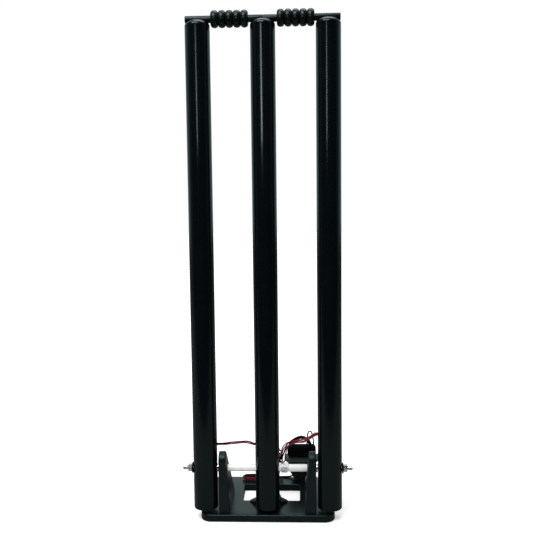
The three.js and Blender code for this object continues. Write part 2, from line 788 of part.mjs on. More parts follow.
function pedestal() {
  const underTray = TRAY_HEIGHT - TRAY_THICKNESS / 2;
  const postHeight = underTray - PLATE_THICKNESS;
  const outline = scaledPolygon(PEDESTAL_SHARES, BOX_WIDTH / 2, postHeight);
  const post = extruded(outline, PEDESTAL_DEPTH, 0, 1).applyMatrix4(FRONT_VIEW);
  post.translate(PEDESTAL_OFFSET, pedestalRearY, PLATE_THICKNESS);
  const tray = extruded(trayPlan(), TRAY_THICKNESS, 0, 1).translate(0, 0, TRAY_HEIGHT - TRAY_THICKNESS);
  const gusset = extruded(gussetOutline(underTray), GUSSET_THICKNESS, 0, 1).applyMatrix4(SIDE_VIEW);
  gusset.translate(PEDESTAL_OFFSET - GUSSET_THICKNESS / 2, 0, 0);
  const leadHole = cylinder(LEAD_HOLE_RADIUS, LEAD_HOLE_DEPTH * 2, "x", HOLE_SIDES);
  leadHole.translate(pedestalFootX, leadEntryY, leadEntryZ);
  return cut(join([post, tray, gusset]), [screwHole(pedestalScrewPlace, SCREW_LENGTH), leadHole]);
}

// Control box: a moulded case and rear cover, with a battery cell, a board and a slide switch

const BOX_CORNER = 6;
const BOX_CORNER_STEPS = 4;
const BOX_EDGE_ROUND = 1;
const BOX_WALL = 2;
const COVER_THICKNESS = 2.4;
const CELL_SIZE = [34, 6, 12];
const BOARD_SIZE = [34, 1.6, 12];
const SWITCH_BASE = [9, 1.5, 7];
const SWITCH_KNOB = [4, 1.6, 5];
const SWITCH_TRAVEL = 3;
const SWITCH_OFFSET = 8;
const BOX_CABLE_DIAMETER = 5.4;
const AERIAL_DIAMETER = 1.4;

const boxTopZ = TRAY_HEIGHT + BOX_HEIGHT;
const boxLeft = BOX_OFFSET - BOX_WIDTH / 2;
const boxRight = BOX_OFFSET + BOX_WIDTH / 2;
const coverFrontY = plateRearY - COVER_THICKNESS;
const innerFloorZ = TRAY_HEIGHT + BOX_WALL;
const switchX = BOX_OFFSET + SWITCH_OFFSET;
const switchZ = TRAY_HEIGHT + BOX_HEIGHT / 2;
const boardRearY = coverFrontY - SWITCH_BASE[1] - FIT * 2;
const cellRearY = boxFrontY + BOX_WALL + FIT + CELL_SIZE[1];

// A box's outline seen from the front, drawn in by a margin all round.
function boxOutline(margin) {
  const [left, right] = [boxLeft + margin, boxRight - margin];
  return roundedRectangle(left, right, TRAY_HEIGHT + margin, boxTopZ - margin, BOX_CORNER - margin);
}

function controlBox() {
  const depth = BOX_DEPTH - COVER_THICKNESS - FIT / 2;
  const shell = extruded(boxOutline(0), depth, BOX_EDGE_ROUND, BOX_CORNER_STEPS).applyMatrix4(FRONT_VIEW);
  shell.translate(0, boxFrontY + depth, 0);
  const cavity = extruded(boxOutline(BOX_WALL), depth, 0, BOX_CORNER_STEPS).applyMatrix4(FRONT_VIEW);
  cavity.translate(0, boxFrontY + BOX_WALL + depth, 0);
  const reach = (BOX_CORNER + BOX_WALL) * 2;
  const drill = (diameter, [x, y]) =>
    cylinder(diameter / 2 + RUNNING_GAP, reach, "z", HOLE_SIDES).translate(x, y, boxTopZ);
  const ends = (route) => [route[0], route.at(-1)].map(([x, y]) => [BOX_OFFSET + x, plateRearY + y]);
  const cableHoles = ends(boxCableRoute).map((place) => drill(BOX_CABLE_DIAMETER, place));
  const aerialHoles = ends(aerialRoute).map((place) => drill(AERIAL_DIAMETER, place));
  return cut(shell, [cavity, ...cableHoles, ...aerialHoles]);
}

function boxCover() {
  const thickness = COVER_THICKNESS - FIT / 2;
  const plate = extruded(boxOutline(0), thickness, 0, BOX_CORNER_STEPS).applyMatrix4(FRONT_VIEW);
  plate.translate(0, plateRearY, 0);
  const [knobWidth, , knobHeight] = SWITCH_KNOB;
  const low = [switchX - knobWidth / 2 - FIT, coverFrontY - OVERRUN, switchZ - knobHeight / 2 - FIT];
  const slotRight = switchX + knobWidth / 2 + SWITCH_TRAVEL + FIT;
  return cut(plate, [box(low, [slotRight, plateRearY + OVERRUN, switchZ + knobHeight / 2 + FIT])]);
}

function block([width, depth, height], x, rearY, lowZ) {
  return box([x - width / 2, rearY - depth, lowZ], [x + width / 2, rearY, lowZ + height]);
}

// The knob ends flush with the cover's rear face.
function powerSwitch() {
  const [knobWidth, , knobHeight] = SWITCH_KNOB;
  const knobDepth = plateRearY - coverFrontY + FIT + SWITCH_BASE[1] / 2;
  const knob = block([knobWidth, knobDepth, knobHeight], switchX, plateRearY, switchZ - knobHeight / 2);
  const base = block(SWITCH_BASE, switchX, coverFrontY - FIT, switchZ - SWITCH_BASE[2] / 2);
  return join([knob, base]);
}

// Routes of the cords, chosen by hand. Those of the box are about the middle of its rear top edge.

const boxCableRoute = [
  [-19, -9, -1.3],
  [-18.8, -9, 1.5],
  [-17, -9, 5.9],
  [-12.4, -9, 9.3],
  [-7.2, -9, 12.3],
  [-1, -9, 14.2],
  [5.2, -9, 12.7],
  [10.4, -9, 9.1],
  [13.2, -9, 4.5],
  [14, -9, 1.5],
  [14, -9, -1.3],
];

const aerialRoute = [
  [9, -4.8, -1.3],
  [9, -4.8, 2.5],
  [9.6, -4.8, 11.1],
  [11, -4.8, 18.1],
  [13.4, -4.8, 23.1],
  [16, -4.8, 20.5],
  [18.4, -4.8, 15.1],
  [19.4, -4.8, 8.5],
  [19.7, -4.8, 2.5],
  [19.7, -4.8, -1.7],
];

// The link wires' routes are about the pivot, from stump to stump.

const leftRedRoute = [
  [-75.1, 1.05, 36.6],
  [-72.4, 1.05, 36.6],
  [-68, 0.6, 36.8],
  [-62, -0.4, 37.2],
  [-52, -1.2, 38.6],
  [-43, -1.4, 39.9],
  [-36, -1.4, 40.2],
  [-29, -1.2, 39.6],
  [-24, -0.4, 38],
  [-20.4, 1.05, 36.8],
  [-17.4, 1.05, 36.6],
];

const leftBlackRoute = [
  [-75.1, -1.05, 35.4],
  [-72.4, -1.05, 35.4],
  [-68, -1.1, 35.2],
  [-62, -0.8, 35],
  [-52, 0.2, 36.2],
  [-43, 0.8, 37.8],
  [-36, 0.8, 38.2],
  [-29, 0.2, 37.4],
  [-24, -1, 36],
  [-20.4, -1.05, 35.4],
  [-17.4, -1.05, 35.4],
];

const rightRedRoute = [
  [13.04, 11.56, 11.05],
  [15.4, 13.9, 11.05],
  [18.6, 15.8, 11.8],
  [20.6, 16.4, 14.6],
  [22, 15.8, 19.2],
  [24, 14.8, 23.4],
  [27.8, 13.2, 28.7],
  [32, 11.6, 34.1],
  [37, 9.8, 35.9],
  [43, 8, 38.3],
  [49, 6, 40],
  [55, 4, 42.6],
  [59.4, 2, 45.3],
  [64, 0.7, 47.6],
  [68.5, -0.6, 50.6],
  [71.6, -1.05, 52.6],
  [75.1, -1.05, 53.05],
];

const rightBlackRoute = [
  [11.56, 13.04, 8.95],
  [13.9, 15.4, 8.95],
  [18.2, 17.6, 8.6],
  [21.4, 17.4, 10.2],
  [23.8, 16.6, 15.6],
  [26, 15.4, 21.8],
  [29.2, 13.6, 27.4],
  [34, 11.6, 32.1],
  [41, 10.2, 35.9],
  [48.6, 8, 36.6],
  [55, 5.2, 39.2],
  [61, 3.4, 42.8],
  [66.4, 2, 47.4],
  [70.6, 1.05, 50.1],
  [75.1, 1.05, 50.95],
];

const rightClearRoute = [
  [13.04, 11.56, 8.95],
  [15.4, 13.9, 8.7],
  [18.8, 15, 6],
  [22.2, 14.6, 3],
  [24.4, 14, 5.6],
  [25.4, 13.6, 10.8],
  [26.9, 13, 16.8],
  [28.3, 12.2, 23],
  [30.6, 11, 28.2],
  [35, 9.4, 31.4],
  [43, 7.2, 34.6],
  [50, 5.2, 35.3],
  [54.4, 3.6, 36.8],
  [59.4, 1.6, 41],
  [65, 0, 45.8],
  [70.4, -1.05, 49.6],
  [75.1, -1.05, 50.95],
];

const rightWhiteRoute = [
  [11.56, 13.04, 11.05],
  [13.9, 15.4, 11.05],
  [17.4, 18, 11.8],
  [19.6, 18.8, 14.6],
  [20.6, 18.2, 19.4],
  [22, 17.2, 24.2],
  [25.2, 15.6, 29.6],
  [29.4, 14.2, 33.2],
  [34, 13.2, 35],
  [38, 13, 35.6],
  [43.6, 12, 37],
  [50, 10, 38.6],
  [56, 7.8, 41.4],
  [60.6, 5.8, 44.4],
  [65, 4.4, 47.6],
  [70.4, 2.2, 52.4],
  [75.1, 1.05, 53.05],
];

const WIRE_DIAMETER = 1.6;
const WIRE_SEAT = 0.4;
const BOX_CABLE_STEPS = 18;
const AERIAL_STEPS = 20;
const LEFT_LINK_STEPS = 16;
const RIGHT_LINK_STEPS = 24;

// Draws a link's route out or in, so that it ends in the outer stump's wall.
function fitted(route) {
  const near = Math.min(...route.map(([x]) => Math.abs(x)));
  const far = Math.max(...route.map(([x]) => Math.abs(x)));
  const stretch = (STUMP_SPACING - stumpRadius + WIRE_SEAT - near) / (far - near);
  const reach = (x) => Math.sign(x) * (near + (Math.abs(x) - near) * stretch);
  return route.map(([x, y, z]) => [reach(x), y, z]);
}

// Pigtail: the lead that crosses the pivot, curled so that it can flex

const PIGTAIL_DIAMETER = 2.2;
const PIGTAIL_CURLS = 4;
const PIGTAIL_PITCH = 4.2;
const PIGTAIL_RADIUS = 4.1;
const PIGTAIL_CENTRE_X = 17.6;
const PIGTAIL_CENTRE_Y = 28.5;
const PIGTAIL_TOP_HEIGHT = 14.6;
const PIGTAIL_HEAD_STEPS = 14;
const PIGTAIL_TAIL_STEPS = 34;
const SPLICE_DIAMETER = 6;
const SPLICE_LENGTH = 12;
const SPLICE_NECK_SHARE = 0.67;
const SPLICE_OFFSET = 34.3;
const SPLICE_SETBACK = 10;

const spliceX = pedestalFootX - SPLICE_OFFSET;
const spliceY = plateRearY - SPLICE_SETBACK;
const spliceZ = PLATE_THICKNESS + RUNNING_GAP + SPLICE_DIAMETER / 2;

// The head and the drop are about the pivot, before and after the curls, and the run is about the splice.
const pigtailHead = [
  [0, 16.2, 34],
  [0, 20.2, 34],
  [1.4, 24.8, 33.2],
  [5.4, 29, 30.6],
  [10.4, 31.8, 26.2],
  [14.2, 32.8, 21.4],
  [16, 32.8, 17.4],
];

const pigtailDrop = [
  [20.6, 31.4, -5.4],
  [19.8, 28.8, -9.6],
  [17, 29.2, -15.6],
  [15.6, 33.4, -24],
  [15.2, 42.6, -35],
  [15.2, 56, -45.6],
  [15.6, 74, -54.6],
  [16.6, 92, -59.6],
];

const pigtailRun = [
  [13.4, -16.5, 0.5],
  [14.2, -8.5, 0],
  [13, -2.1, 0],
  [10, 0, 0],
  [6.3, 0, 0],
];

function pigtailPoints() {
  const points = smooth(pigtailHead.map(vector)).getPoints(PIGTAIL_HEAD_STEPS);
  const steps = PIGTAIL_CURLS * CURL_STEPS;
  for (let i = 1; i <= steps; i++) {
    const turn = Math.PI / 2 - (i / CURL_STEPS) * Math.PI * 2;
    const x = PIGTAIL_CENTRE_X + PIGTAIL_RADIUS * Math.cos(turn);
    const y = PIGTAIL_CENTRE_Y + PIGTAIL_RADIUS * Math.sin(turn);
    points.push(new THREE.Vector3(x, y, PIGTAIL_TOP_HEIGHT - (i / CURL_STEPS) * PIGTAIL_PITCH));
  }
  const splicePlace = new THREE.Vector3(spliceX, spliceY - pivotY, spliceZ - pivotZ);
  const run = pigtailRun.map((point) => vector(point).add(splicePlace));
  const tail = smooth([points.at(-1), ...pigtailDrop.map(vector), ...run]);
  return [...points, ...tail.getPoints(PIGTAIL_TAIL_STEPS).slice(1)];
}

function pigtail() {
  const points = pigtailPoints();
  reportLeastGap("pigtail_lead", points, PIGTAIL_DIAMETER, CURL_STEPS / 2 + 1);
  return woundTube(points, PIGTAIL_DIAMETER, CURL_SIDES);
}

function splice() {
  const half = SPLICE_LENGTH / 2;
  const radius = SPLICE_DIAMETER / 2;
  const neck = radius * SPLICE_NECK_SHARE;
  const shoulder = half - (radius - neck);
  const profile = [
    [0, -half],
    [neck, -half],
    [radius, -shoulder],
    [radius, shoulder],
    [neck, half],
    [0, half],
  ];
  return turned(profile, "x", HOLE_SIDES);
}

// Spare leads: the slack of the red and black wires, each wound in an oval coil on the rear strip

const COIL_PITCH = 2.1;
const COIL_X = -66.5;
const COIL_Y = -12.5;
const COIL_HALF_WIDTH = 19;
const COIL_HALF_DEPTH = 8.4;
const COIL_LANE = 2.7;
const LEAD_HEAD_STEPS = 16;
const LEAD_END_STEPS = 8;
const RED_TURNS = 1.75;
const BLACK_TURNS = 2.75;
const RED_LOW_HEIGHT = 1.9;
const BLACK_LOW_HEIGHT = 1.1;

// All are about the pedestal's foot, the plate's rear edge and its top.
// The head runs from the pedestal to the coil, and the end from the coil to the splice.
const redHead = [
  [-0.9, -4.1, 4.2],
  [-3.5, -4.1, 4],
  [-9.3, -3.4, 1.7],
  [-21.3, -2.8, 1.2],
  [-35.3, -2.8, 1.2],
  [-47.3, -3.2, 1.3],
  [-57.3, -3.6, 1.6],
];
const redEnd = [
  [-46.9, -9.4, 5.2],
  [-44.5, -8.2, 4.2],
  [-42.1, -8.8, 3.5],
  [-40.7, -9, 3.3],
];
const blackHead = [
  [-0.9, -6.3, 3.2],
  [-3.5, -6.3, 3],
  [-9.3, -6, 1.2],
  [-17.3, -5.4, 1.1],
  [-29.3, -5, 1.1],
  [-41.3, -5.1, 1.1],
  [-51.3, -5.9, 1.1],
  [-59.3, -6.6, 1.1],
];
const blackEnd = [
  [-49.2, -10.6, 7.3],
  [-46.5, -10, 7.4],
  [-43.5, -10.4, 5.6],
  [-42.1, -10.9, 3.7],
  [-40.7, -11, 3.3],
];

// lane draws the oval in; the coil starts at its rear and climbs one pitch a turn.
function coilPoints(lane, turns, lowHeight) {
  const points = [];
  for (let i = 0; i <= Math.round(turns * LOOP_STEPS); i++) {
    const share = i / LOOP_STEPS;
    const turn = Math.PI / 2 + share * Math.PI * 2;
    const x = COIL_X + (COIL_HALF_WIDTH - lane) * Math.cos(turn);
    const y = COIL_Y + (COIL_HALF_DEPTH - lane) * Math.sin(turn);
    points.push(new THREE.Vector3(x, y, lowHeight + share * COIL_PITCH));
  }
  return points;
}

function spareLead(name, head, coil, end) {
  const leadIn = smooth([...head.map(vector), coil[0]]).getPoints(LEAD_HEAD_STEPS);
  const leadOut = smooth([coil.at(-1), ...end.map(vector)]).getPoints(LEAD_END_STEPS);
  const points = [...leadIn, ...coil.slice(1), ...leadOut.slice(1)];
  reportLeastGap(name, points, WIRE_DIAMETER, LOOP_STEPS / 2);
  return woundTube(points, WIRE_DIAMETER, LOOP_SIDES);
}

// The stand, in the plate's frame

const stand = new THREE.Group();
stand.add(piece("base_plate", basePlate(), powderCoat));

for (const [side, label] of [[-1, "left"], [1, "right"]]) {
  const bracket = new THREE.Group();
  bracket.position.set(side * earX, pivotY, pivotZ);
  bracket.add(piece(`${label}_ear`, ear(side), powderCoat));
  bracket.add(piece(`${label}_bush`, bush(side), bronze));
  stand.add(bracket);
  stand.add(screw(`${label}_ear_screw_front`, [side * earScrewX, earScrewY[0]], SCREW_LENGTH));
  stand.add(screw(`${label}_ear_screw_rear`, [side * earScrewX, earScrewY[1]], SCREW_LENGTH));
}

stand.add(piece("stop_block", stopBlock(), rubber));
stand.add(screw("stop_block_screw", stopScrewPlace, STOP_SCREW_LENGTH));
stand.add(piece("box_pedestal", pedestal(), blackPlastic));
stand.add(screw("pedestal_screw", pedestalScrewPlace, SCREW_LENGTH));
stand.add(piece("control_box", controlBox(), blackPlastic));
stand.add(piece("control_box_cover", boxCover(), blackPlastic));
stand.add(piece("battery_cell", block(CELL_SIZE, BOX_OFFSET, cellRearY, innerFloorZ), cellWrap));
stand.add(piece("control_board", block(BOARD_SIZE, BOX_OFFSET, boardRearY, innerFloorZ), circuitGreen));
stand.add(piece("power_switch", powerSwitch(), greyPlastic));
const overBox = new THREE.Group();
overBox.position.set(BOX_OFFSET, plateRearY, boxTopZ);
overBox.add(piece("box_cable", cord(boxCableRoute, BOX_CABLE_DIAMETER, BOX_CABLE_STEPS), blackWire));
overBox.add(piece("aerial_wire", cord(aerialRoute, AERIAL_DIAMETER, AERIAL_STEPS), blackWire));
stand.add(overBox);

const redCoil = coilPoints(0, RED_TURNS, RED_LOW_HEIGHT);
const blackCoil = coilPoints(COIL_LANE, BLACK_TURNS, BLACK_LOW_HEIGHT);
const slack = new THREE.Group();
slack.position.set(pedestalFootX, plateRearY, PLATE_THICKNESS);
slack.add(piece("spare_lead_red", spareLead("spare_lead_red", redHead, redCoil, redEnd), redWire));
const blackLead = spareLead("spare_lead_black", blackHead, blackCoil, blackEnd);
slack.add(piece("spare_lead_black", blackLead, blackWire));
const sleeve = piece("lead_splice", splice(), rubber);
sleeve.position.set(spliceX, spliceY, spliceZ);
stand.add(slack, sleeve);

// The wicket and what is placed about its pivot

const wicket = new THREE.Group();
wicket.position.set(0, pivotY, pivotZ);
wicket.add(piece("pivot_rod", pivotRod(), zinc));
wicket.add(piece("pivot_tube", pivotTube(), zinc));
wicket.add(piece("return_spring", returnSpring(), springSteel));
wicket.add(piece("pigtail_lead", pigtail(), blackWire));
const endPieces = [
  ["spacer", spacer, zinc],
  ["washer", washer, rubber],
  ["nut", nut, zinc],
];
for (const [turn, label] of [[Math.PI, "left"], [0, "right"]])
  for (const [name, make, material] of endPieces) {
    const part = piece(`${label}_${name}`, make(), material);
    part.rotation.z = turn;
    wicket.add(part);
  }

const wireHoles = {
  left: [wireHole(LINK_HOLE_RADIUS, 0, LEFT_LINK_HEIGHT)],
  middle: [
    wireHole(LINK_HOLE_RADIUS, Math.PI, LEFT_LINK_HEIGHT),
    wireHole(LINK_HOLE_RADIUS, Math.PI / 4, RIGHT_LINK_LOW_HEIGHT),
    wireHole(PIGTAIL_HOLE_RADIUS, Math.PI / 2, PIGTAIL_EXIT_HEIGHT),
  ],
  right: [wireHole(LINK_HOLE_RADIUS, Math.PI, RIGHT_LINK_HIGH_HEIGHT)],
};
for (const [place, label] of [[-1, "left"], [0, "middle"], [1, "right"]]) {
  const stump = new THREE.Group();
  stump.position.x = place * STUMP_SPACING;
  const crossHole = place === 0 ? pivotTubeRadius + RUNNING_RADIAL : rodHole;
  stump.add(piece(`${label}_stump_tube`, stumpTube(crossHole, wireHoles[label]), gloss));
  const cap = piece(`${label}_stump_cap`, stumpCap(), gloss);
  cap.position.z = tubeTopZ;
  const plug = piece(`${label}_foot_plug`, footPlug(), gloss);
  plug.position.z = footZ;
  stump.add(cap, plug, piece(`${label}_light_strip`, lightStrip(), circuitGreen));
  wicket.add(stump);
}

const links = [
  ["left_link_red", leftRedRoute, LEFT_LINK_STEPS, redWire],
  ["left_link_black", leftBlackRoute, LEFT_LINK_STEPS, blackWire],
  ["right_link_red", rightRedRoute, RIGHT_LINK_STEPS, redWire],
  ["right_link_black", rightBlackRoute, RIGHT_LINK_STEPS, blackWire],
  ["right_link_clear", rightClearRoute, RIGHT_LINK_STEPS, clearWire],
  ["right_link_white", rightWhiteRoute, RIGHT_LINK_STEPS, clearWire],
];
for (const [name, route, steps, material] of links)
  wicket.add(piece(name, cord(fitted(route), WIRE_DIAMETER, steps), material));

// The bails lie end to end in the grooves of the caps, long spigots outwards

const leftBail = piece("left_bail", bail(), gloss);
leftBail.position.set(-bailOuterX, 0, bailAxisZ);
const rightBail = piece("right_bail", bail(), gloss);
rightBail.rotation.z = Math.PI;
rightBail.position.set(bailOuterX, 0, bailAxisZ);
wicket.add(leftBail, rightBail);

const group = new THREE.Group();
group.add(stand, wicket);

export default group;
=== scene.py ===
# A cricket wicket that springs back when it is hit: black stumps and bails above a steel base plate,
# with the wires and the control box of its lights. Everything here is in metres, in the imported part's
# frame: +X to the right, +Y away from the bowler and +Z up.
import math

import bmesh
import bpy
from mathutils import Matrix, Vector


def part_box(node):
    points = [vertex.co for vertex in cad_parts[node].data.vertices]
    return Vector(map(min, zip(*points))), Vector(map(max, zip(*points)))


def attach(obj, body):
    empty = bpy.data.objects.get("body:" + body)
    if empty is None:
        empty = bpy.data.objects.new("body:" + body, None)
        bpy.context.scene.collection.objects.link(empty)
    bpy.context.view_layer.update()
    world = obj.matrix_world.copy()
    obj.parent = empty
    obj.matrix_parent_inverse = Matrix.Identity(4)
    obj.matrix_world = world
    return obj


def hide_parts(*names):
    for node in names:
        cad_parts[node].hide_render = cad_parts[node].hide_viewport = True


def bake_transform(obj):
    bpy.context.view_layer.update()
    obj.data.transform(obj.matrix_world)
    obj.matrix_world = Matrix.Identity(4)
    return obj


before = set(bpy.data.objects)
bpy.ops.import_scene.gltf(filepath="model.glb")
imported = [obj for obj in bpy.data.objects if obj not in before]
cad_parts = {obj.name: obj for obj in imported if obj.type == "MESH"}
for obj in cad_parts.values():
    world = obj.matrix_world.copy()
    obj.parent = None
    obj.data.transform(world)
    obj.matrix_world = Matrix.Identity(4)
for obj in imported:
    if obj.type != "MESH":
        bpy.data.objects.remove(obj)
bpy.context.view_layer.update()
MM = 0.001

# The camera stands a little over a metre in front, at the height of the upper stumps, and looks
# slightly down and to the left. Its place, turn and focal length were fitted to the photograph.
CAMERA_PLACE = Vector((50, -1116.5, 475)) * MM
CAMERA_PITCH = math.radians(5.3)
CAMERA_YAW = math.radians(2.6)
CAMERA_ROLL = math.radians(-0.65)
PHOTO_WIDTH_PX = 533
FOCAL_LENGTH_PX = 735

forward = Vector((
    -math.sin(CAMERA_YAW) * math.cos(CAMERA_PITCH),
    math.cos(CAMERA_YAW) * math.cos(CAMERA_PITCH),
    -math.sin(CAMERA_PITCH),
))
level_right = forward.cross(Vector((0, 0, 1))).normalized()
level_up = level_right.cross(forward)
camera_right = level_right * math.cos(CAMERA_ROLL) + level_up * math.sin(CAMERA_ROLL)
camera_up = level_up * math.cos(CAMERA_ROLL) - level_right * math.sin(CAMERA_ROLL)
camera_turn = Matrix((camera_right, camera_up, -forward)).transposed()

camera = bpy.data.objects.new("camera", bpy.data.cameras.new("camera"))
camera.data.sensor_fit = "HORIZONTAL"
camera.data.sensor_width = 36
camera.data.lens = FOCAL_LENGTH_PX / PHOTO_WIDTH_PX * camera.data.sensor_width
camera.matrix_world = Matrix.Translation(CAMERA_PLACE) @ camera_turn.to_4x4()
bpy.context.scene.collection.objects.link(camera)
bpy.context.scene.camera = camera


# The box's cable and its aerial wire: stranded copper in extruded black PVC. Both stand up out of
# holes in the box's top and go back into it, the thick one in an arch and the thin one in a tall loop.
# Their routes are about the middle of the box's rear top edge.
SMOOTH_BELOW = 35
BOX_CABLE_DIAMETER = 5.4 * MM
AERIAL_DIAMETER = 2.1 * MM
BOX_CABLE_ROUTE = [
    (-19, -9, -1.3), (-18.8, -9, 1.5), (-17, -9, 5.9), (-12.4, -9, 9.3), (-7.2, -9, 12.3),
    (-1, -9, 14.2), (5.2, -9, 12.7), (10.4, -9, 9.1), (13.2, -9, 4.5), (14, -9, 1.5), (14, -9, -1.3),
]
AERIAL_ROUTE = [
    (9, -4.8, -1.3), (9, -4.8, 2.5), (9.3, -4.8, 10.4), (10.1, -4.8, 17.1), (11.1, -4.8, 20.9),
    (12.1, -4.8, 22.4), (13.8, -4.8, 23), (15.5, -4.8, 22.4), (16.5, -4.8, 20.9), (17.5, -4.8, 17.1),
    (18.6, -4.8, 12.4), (19.4, -4.8, 7.5), (19.7, -4.8, 2.5), (19.7, -4.8, -1.7),
]


def linear(colour):
    """A colour written as sRGB hex, in the linear values that a shader takes."""
    values = [int(colour[i:i + 2], 16) / 255 for i in (1, 3, 5)]
    return [v / 12.92 if v <= 0.04045 else ((v + 0.055) / 1.055) ** 2.4 for v in values] + [1.0]


def feed(material, node, inputs):
    """Sets a node's inputs. Each is another node's output, which is linked, or a value."""
    for name, value in inputs.items():
        if isinstance(value, bpy.types.NodeSocket):
            material.node_tree.links.new(value, node.inputs[name])
        else:
            node.inputs[name].default_value = value
    return node


def add(material, kind, inputs=None, **settings):
    """Adds a node with its settings, its values and its links."""
    made = material.node_tree.nodes.new(kind)
    for name, value in settings.items():
        setattr(made, name, value)
    return feed(material, made, inputs or {})


def insulation(name, dark, light, roughness, shine):
    """Extruded PVC: smooth and slightly waxy, with faint cloudy patches a few millimetres wide."""
    made = bpy.data.materials.new(name)
    made.use_nodes = True
    place = add(made, "ShaderNodeTexCoord").outputs["Object"]
    cloud = add(made, "ShaderNodeTexNoise", {"Vector": place, "Scale": 1 / (3 * MM), "Detail": 3.0})
    tint = add(made, "ShaderNodeMix", {
        "Factor": cloud.outputs["Fac"], 6: linear(dark), 7: linear(light),
    }, data_type="RGBA")
    grain = add(made, "ShaderNodeTexNoise", {"Vector": place, "Scale": 1 / (0.4 * MM)})
    bump = add(made, "ShaderNodeBump", {
        "Height": grain.outputs["Fac"], "Strength": 0.12, "Distance": 0.05 * MM,
    })
    feed(made, made.node_tree.nodes["Principled BSDF"], {
        "Base Color": tint.outputs[2], "Normal": bump.outputs["Normal"],
        "Roughness": roughness, "IOR": 1.53, "Specular IOR Level": shine,
    })
    return made


def smooth_path(route, steps):
    """Points along the centripetal curve through a route's points, so many to a stretch."""
    ends = [route[0] * 2 - route[1], *route, route[-1] * 2 - route[-2]]
    path = []
    for i in range(len(route) - 1):
        p0, p1, p2, p3 = ends[i:i + 4]
        t0, t1, t2 = [max((b - a).length, 1e-9) ** 0.5 for a, b in ((p0, p1), (p1, p2), (p2, p3))]
        leave = ((p1 - p0) / t0 - (p2 - p0) / (t0 + t1) + (p2 - p1) / t1) * t1
        arrive = ((p2 - p1) / t1 - (p3 - p1) / (t1 + t2) + (p3 - p2) / t2) * t1
        for k in range(steps):
            t = k / steps
            bend = (p2 - p1) * 3 - leave * 2 - arrive
            path.append(p1 + leave * t + bend * t ** 2 + ((p1 - p2) * 2 + leave + arrive) * t ** 3)
    return [*path, route[-1]]


def mesh_piece(name, points, faces, material, smooth_below=SMOOTH_BELOW):
    """A mesh object whose edges below that angle are shaded smooth."""
    mesh = bpy.data.meshes.new(name)
    mesh.from_pydata([tuple(p) for p in points], [], faces)
    mesh.materials.append(material)
    mesh.validate()
    mesh.shade_smooth()
    mesh.set_sharp_from_angle(angle=math.radians(smooth_below))
    made = bpy.data.objects.new(name, mesh)
    bpy.context.scene.collection.objects.link(made)
    return made


def tube_along(name, path, diameter, sides, material):
    """A round tube whose section is carried along the path without twisting."""
    ahead = [(path[min(i + 1, len(path) - 1)] - path[max(i - 1, 0)]).normalized() for i in range(len(path))]
    upright = abs(ahead[0].z) > 0.7
    normal = (Vector((1, 0, 0)) if upright else Vector((0, 0, 1))).cross(ahead[0]).normalized()
    points = []
    for i, centre in enumerate(path):
        if i > 0:
            normal = (ahead[i - 1].rotation_difference(ahead[i]) @ normal).normalized()
        across = ahead[i].cross(normal)
        for k in range(sides):
            turn = k / sides * math.tau
            points.append(centre + (normal * math.cos(turn) + across * math.sin(turn)) * diameter / 2)
    faces = [tuple(range(sides))[::-1], tuple(range(len(points) - sides, len(points)))]
    for i in range(len(path) - 1):
        for k in range(sides):
            here, beside = i * sides + k, i * sides + (k + 1) % sides
            faces.append((here, beside, beside + sides, here + sides))
    return mesh_piece(name, points, faces, material, 60)


def fitted_over(piece, body):
    """Puts a finer piece in the stead of the node that it is named for."""
    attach(piece, body)
    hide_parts(piece.name.removesuffix("_fine"))


def free_cord(node, path, diameter, sides, material, body):
    """A finer tube in place of a cord's node."""
    made = tube_along(node + "_fine", path, diameter, sides, material)
    fitted_over(made, body)


black_pvc = insulation("black_pvc_insulation", "#050606", "#0a0b0b", 0.5, 0.05)

box_low, box_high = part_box("control_box")
cover_low, cover_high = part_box("control_box_cover")
box_rear_top = Vector(((box_low.x + box_high.x) / 2, cover_high.y, box_high.z))
for node, route, diameter, sides, stiffness in (
    ("box_cable", BOX_CABLE_ROUTE, BOX_CABLE_DIAMETER, 24, "medium"),
    ("aerial_wire", AERIAL_ROUTE, AERIAL_DIAMETER, 12, "stiff"),
):
    path = smooth_path([box_rear_top + Vector(point) * MM for point in route], 8)
    free_cord(node, path, diameter, sides, black_pvc, "base")


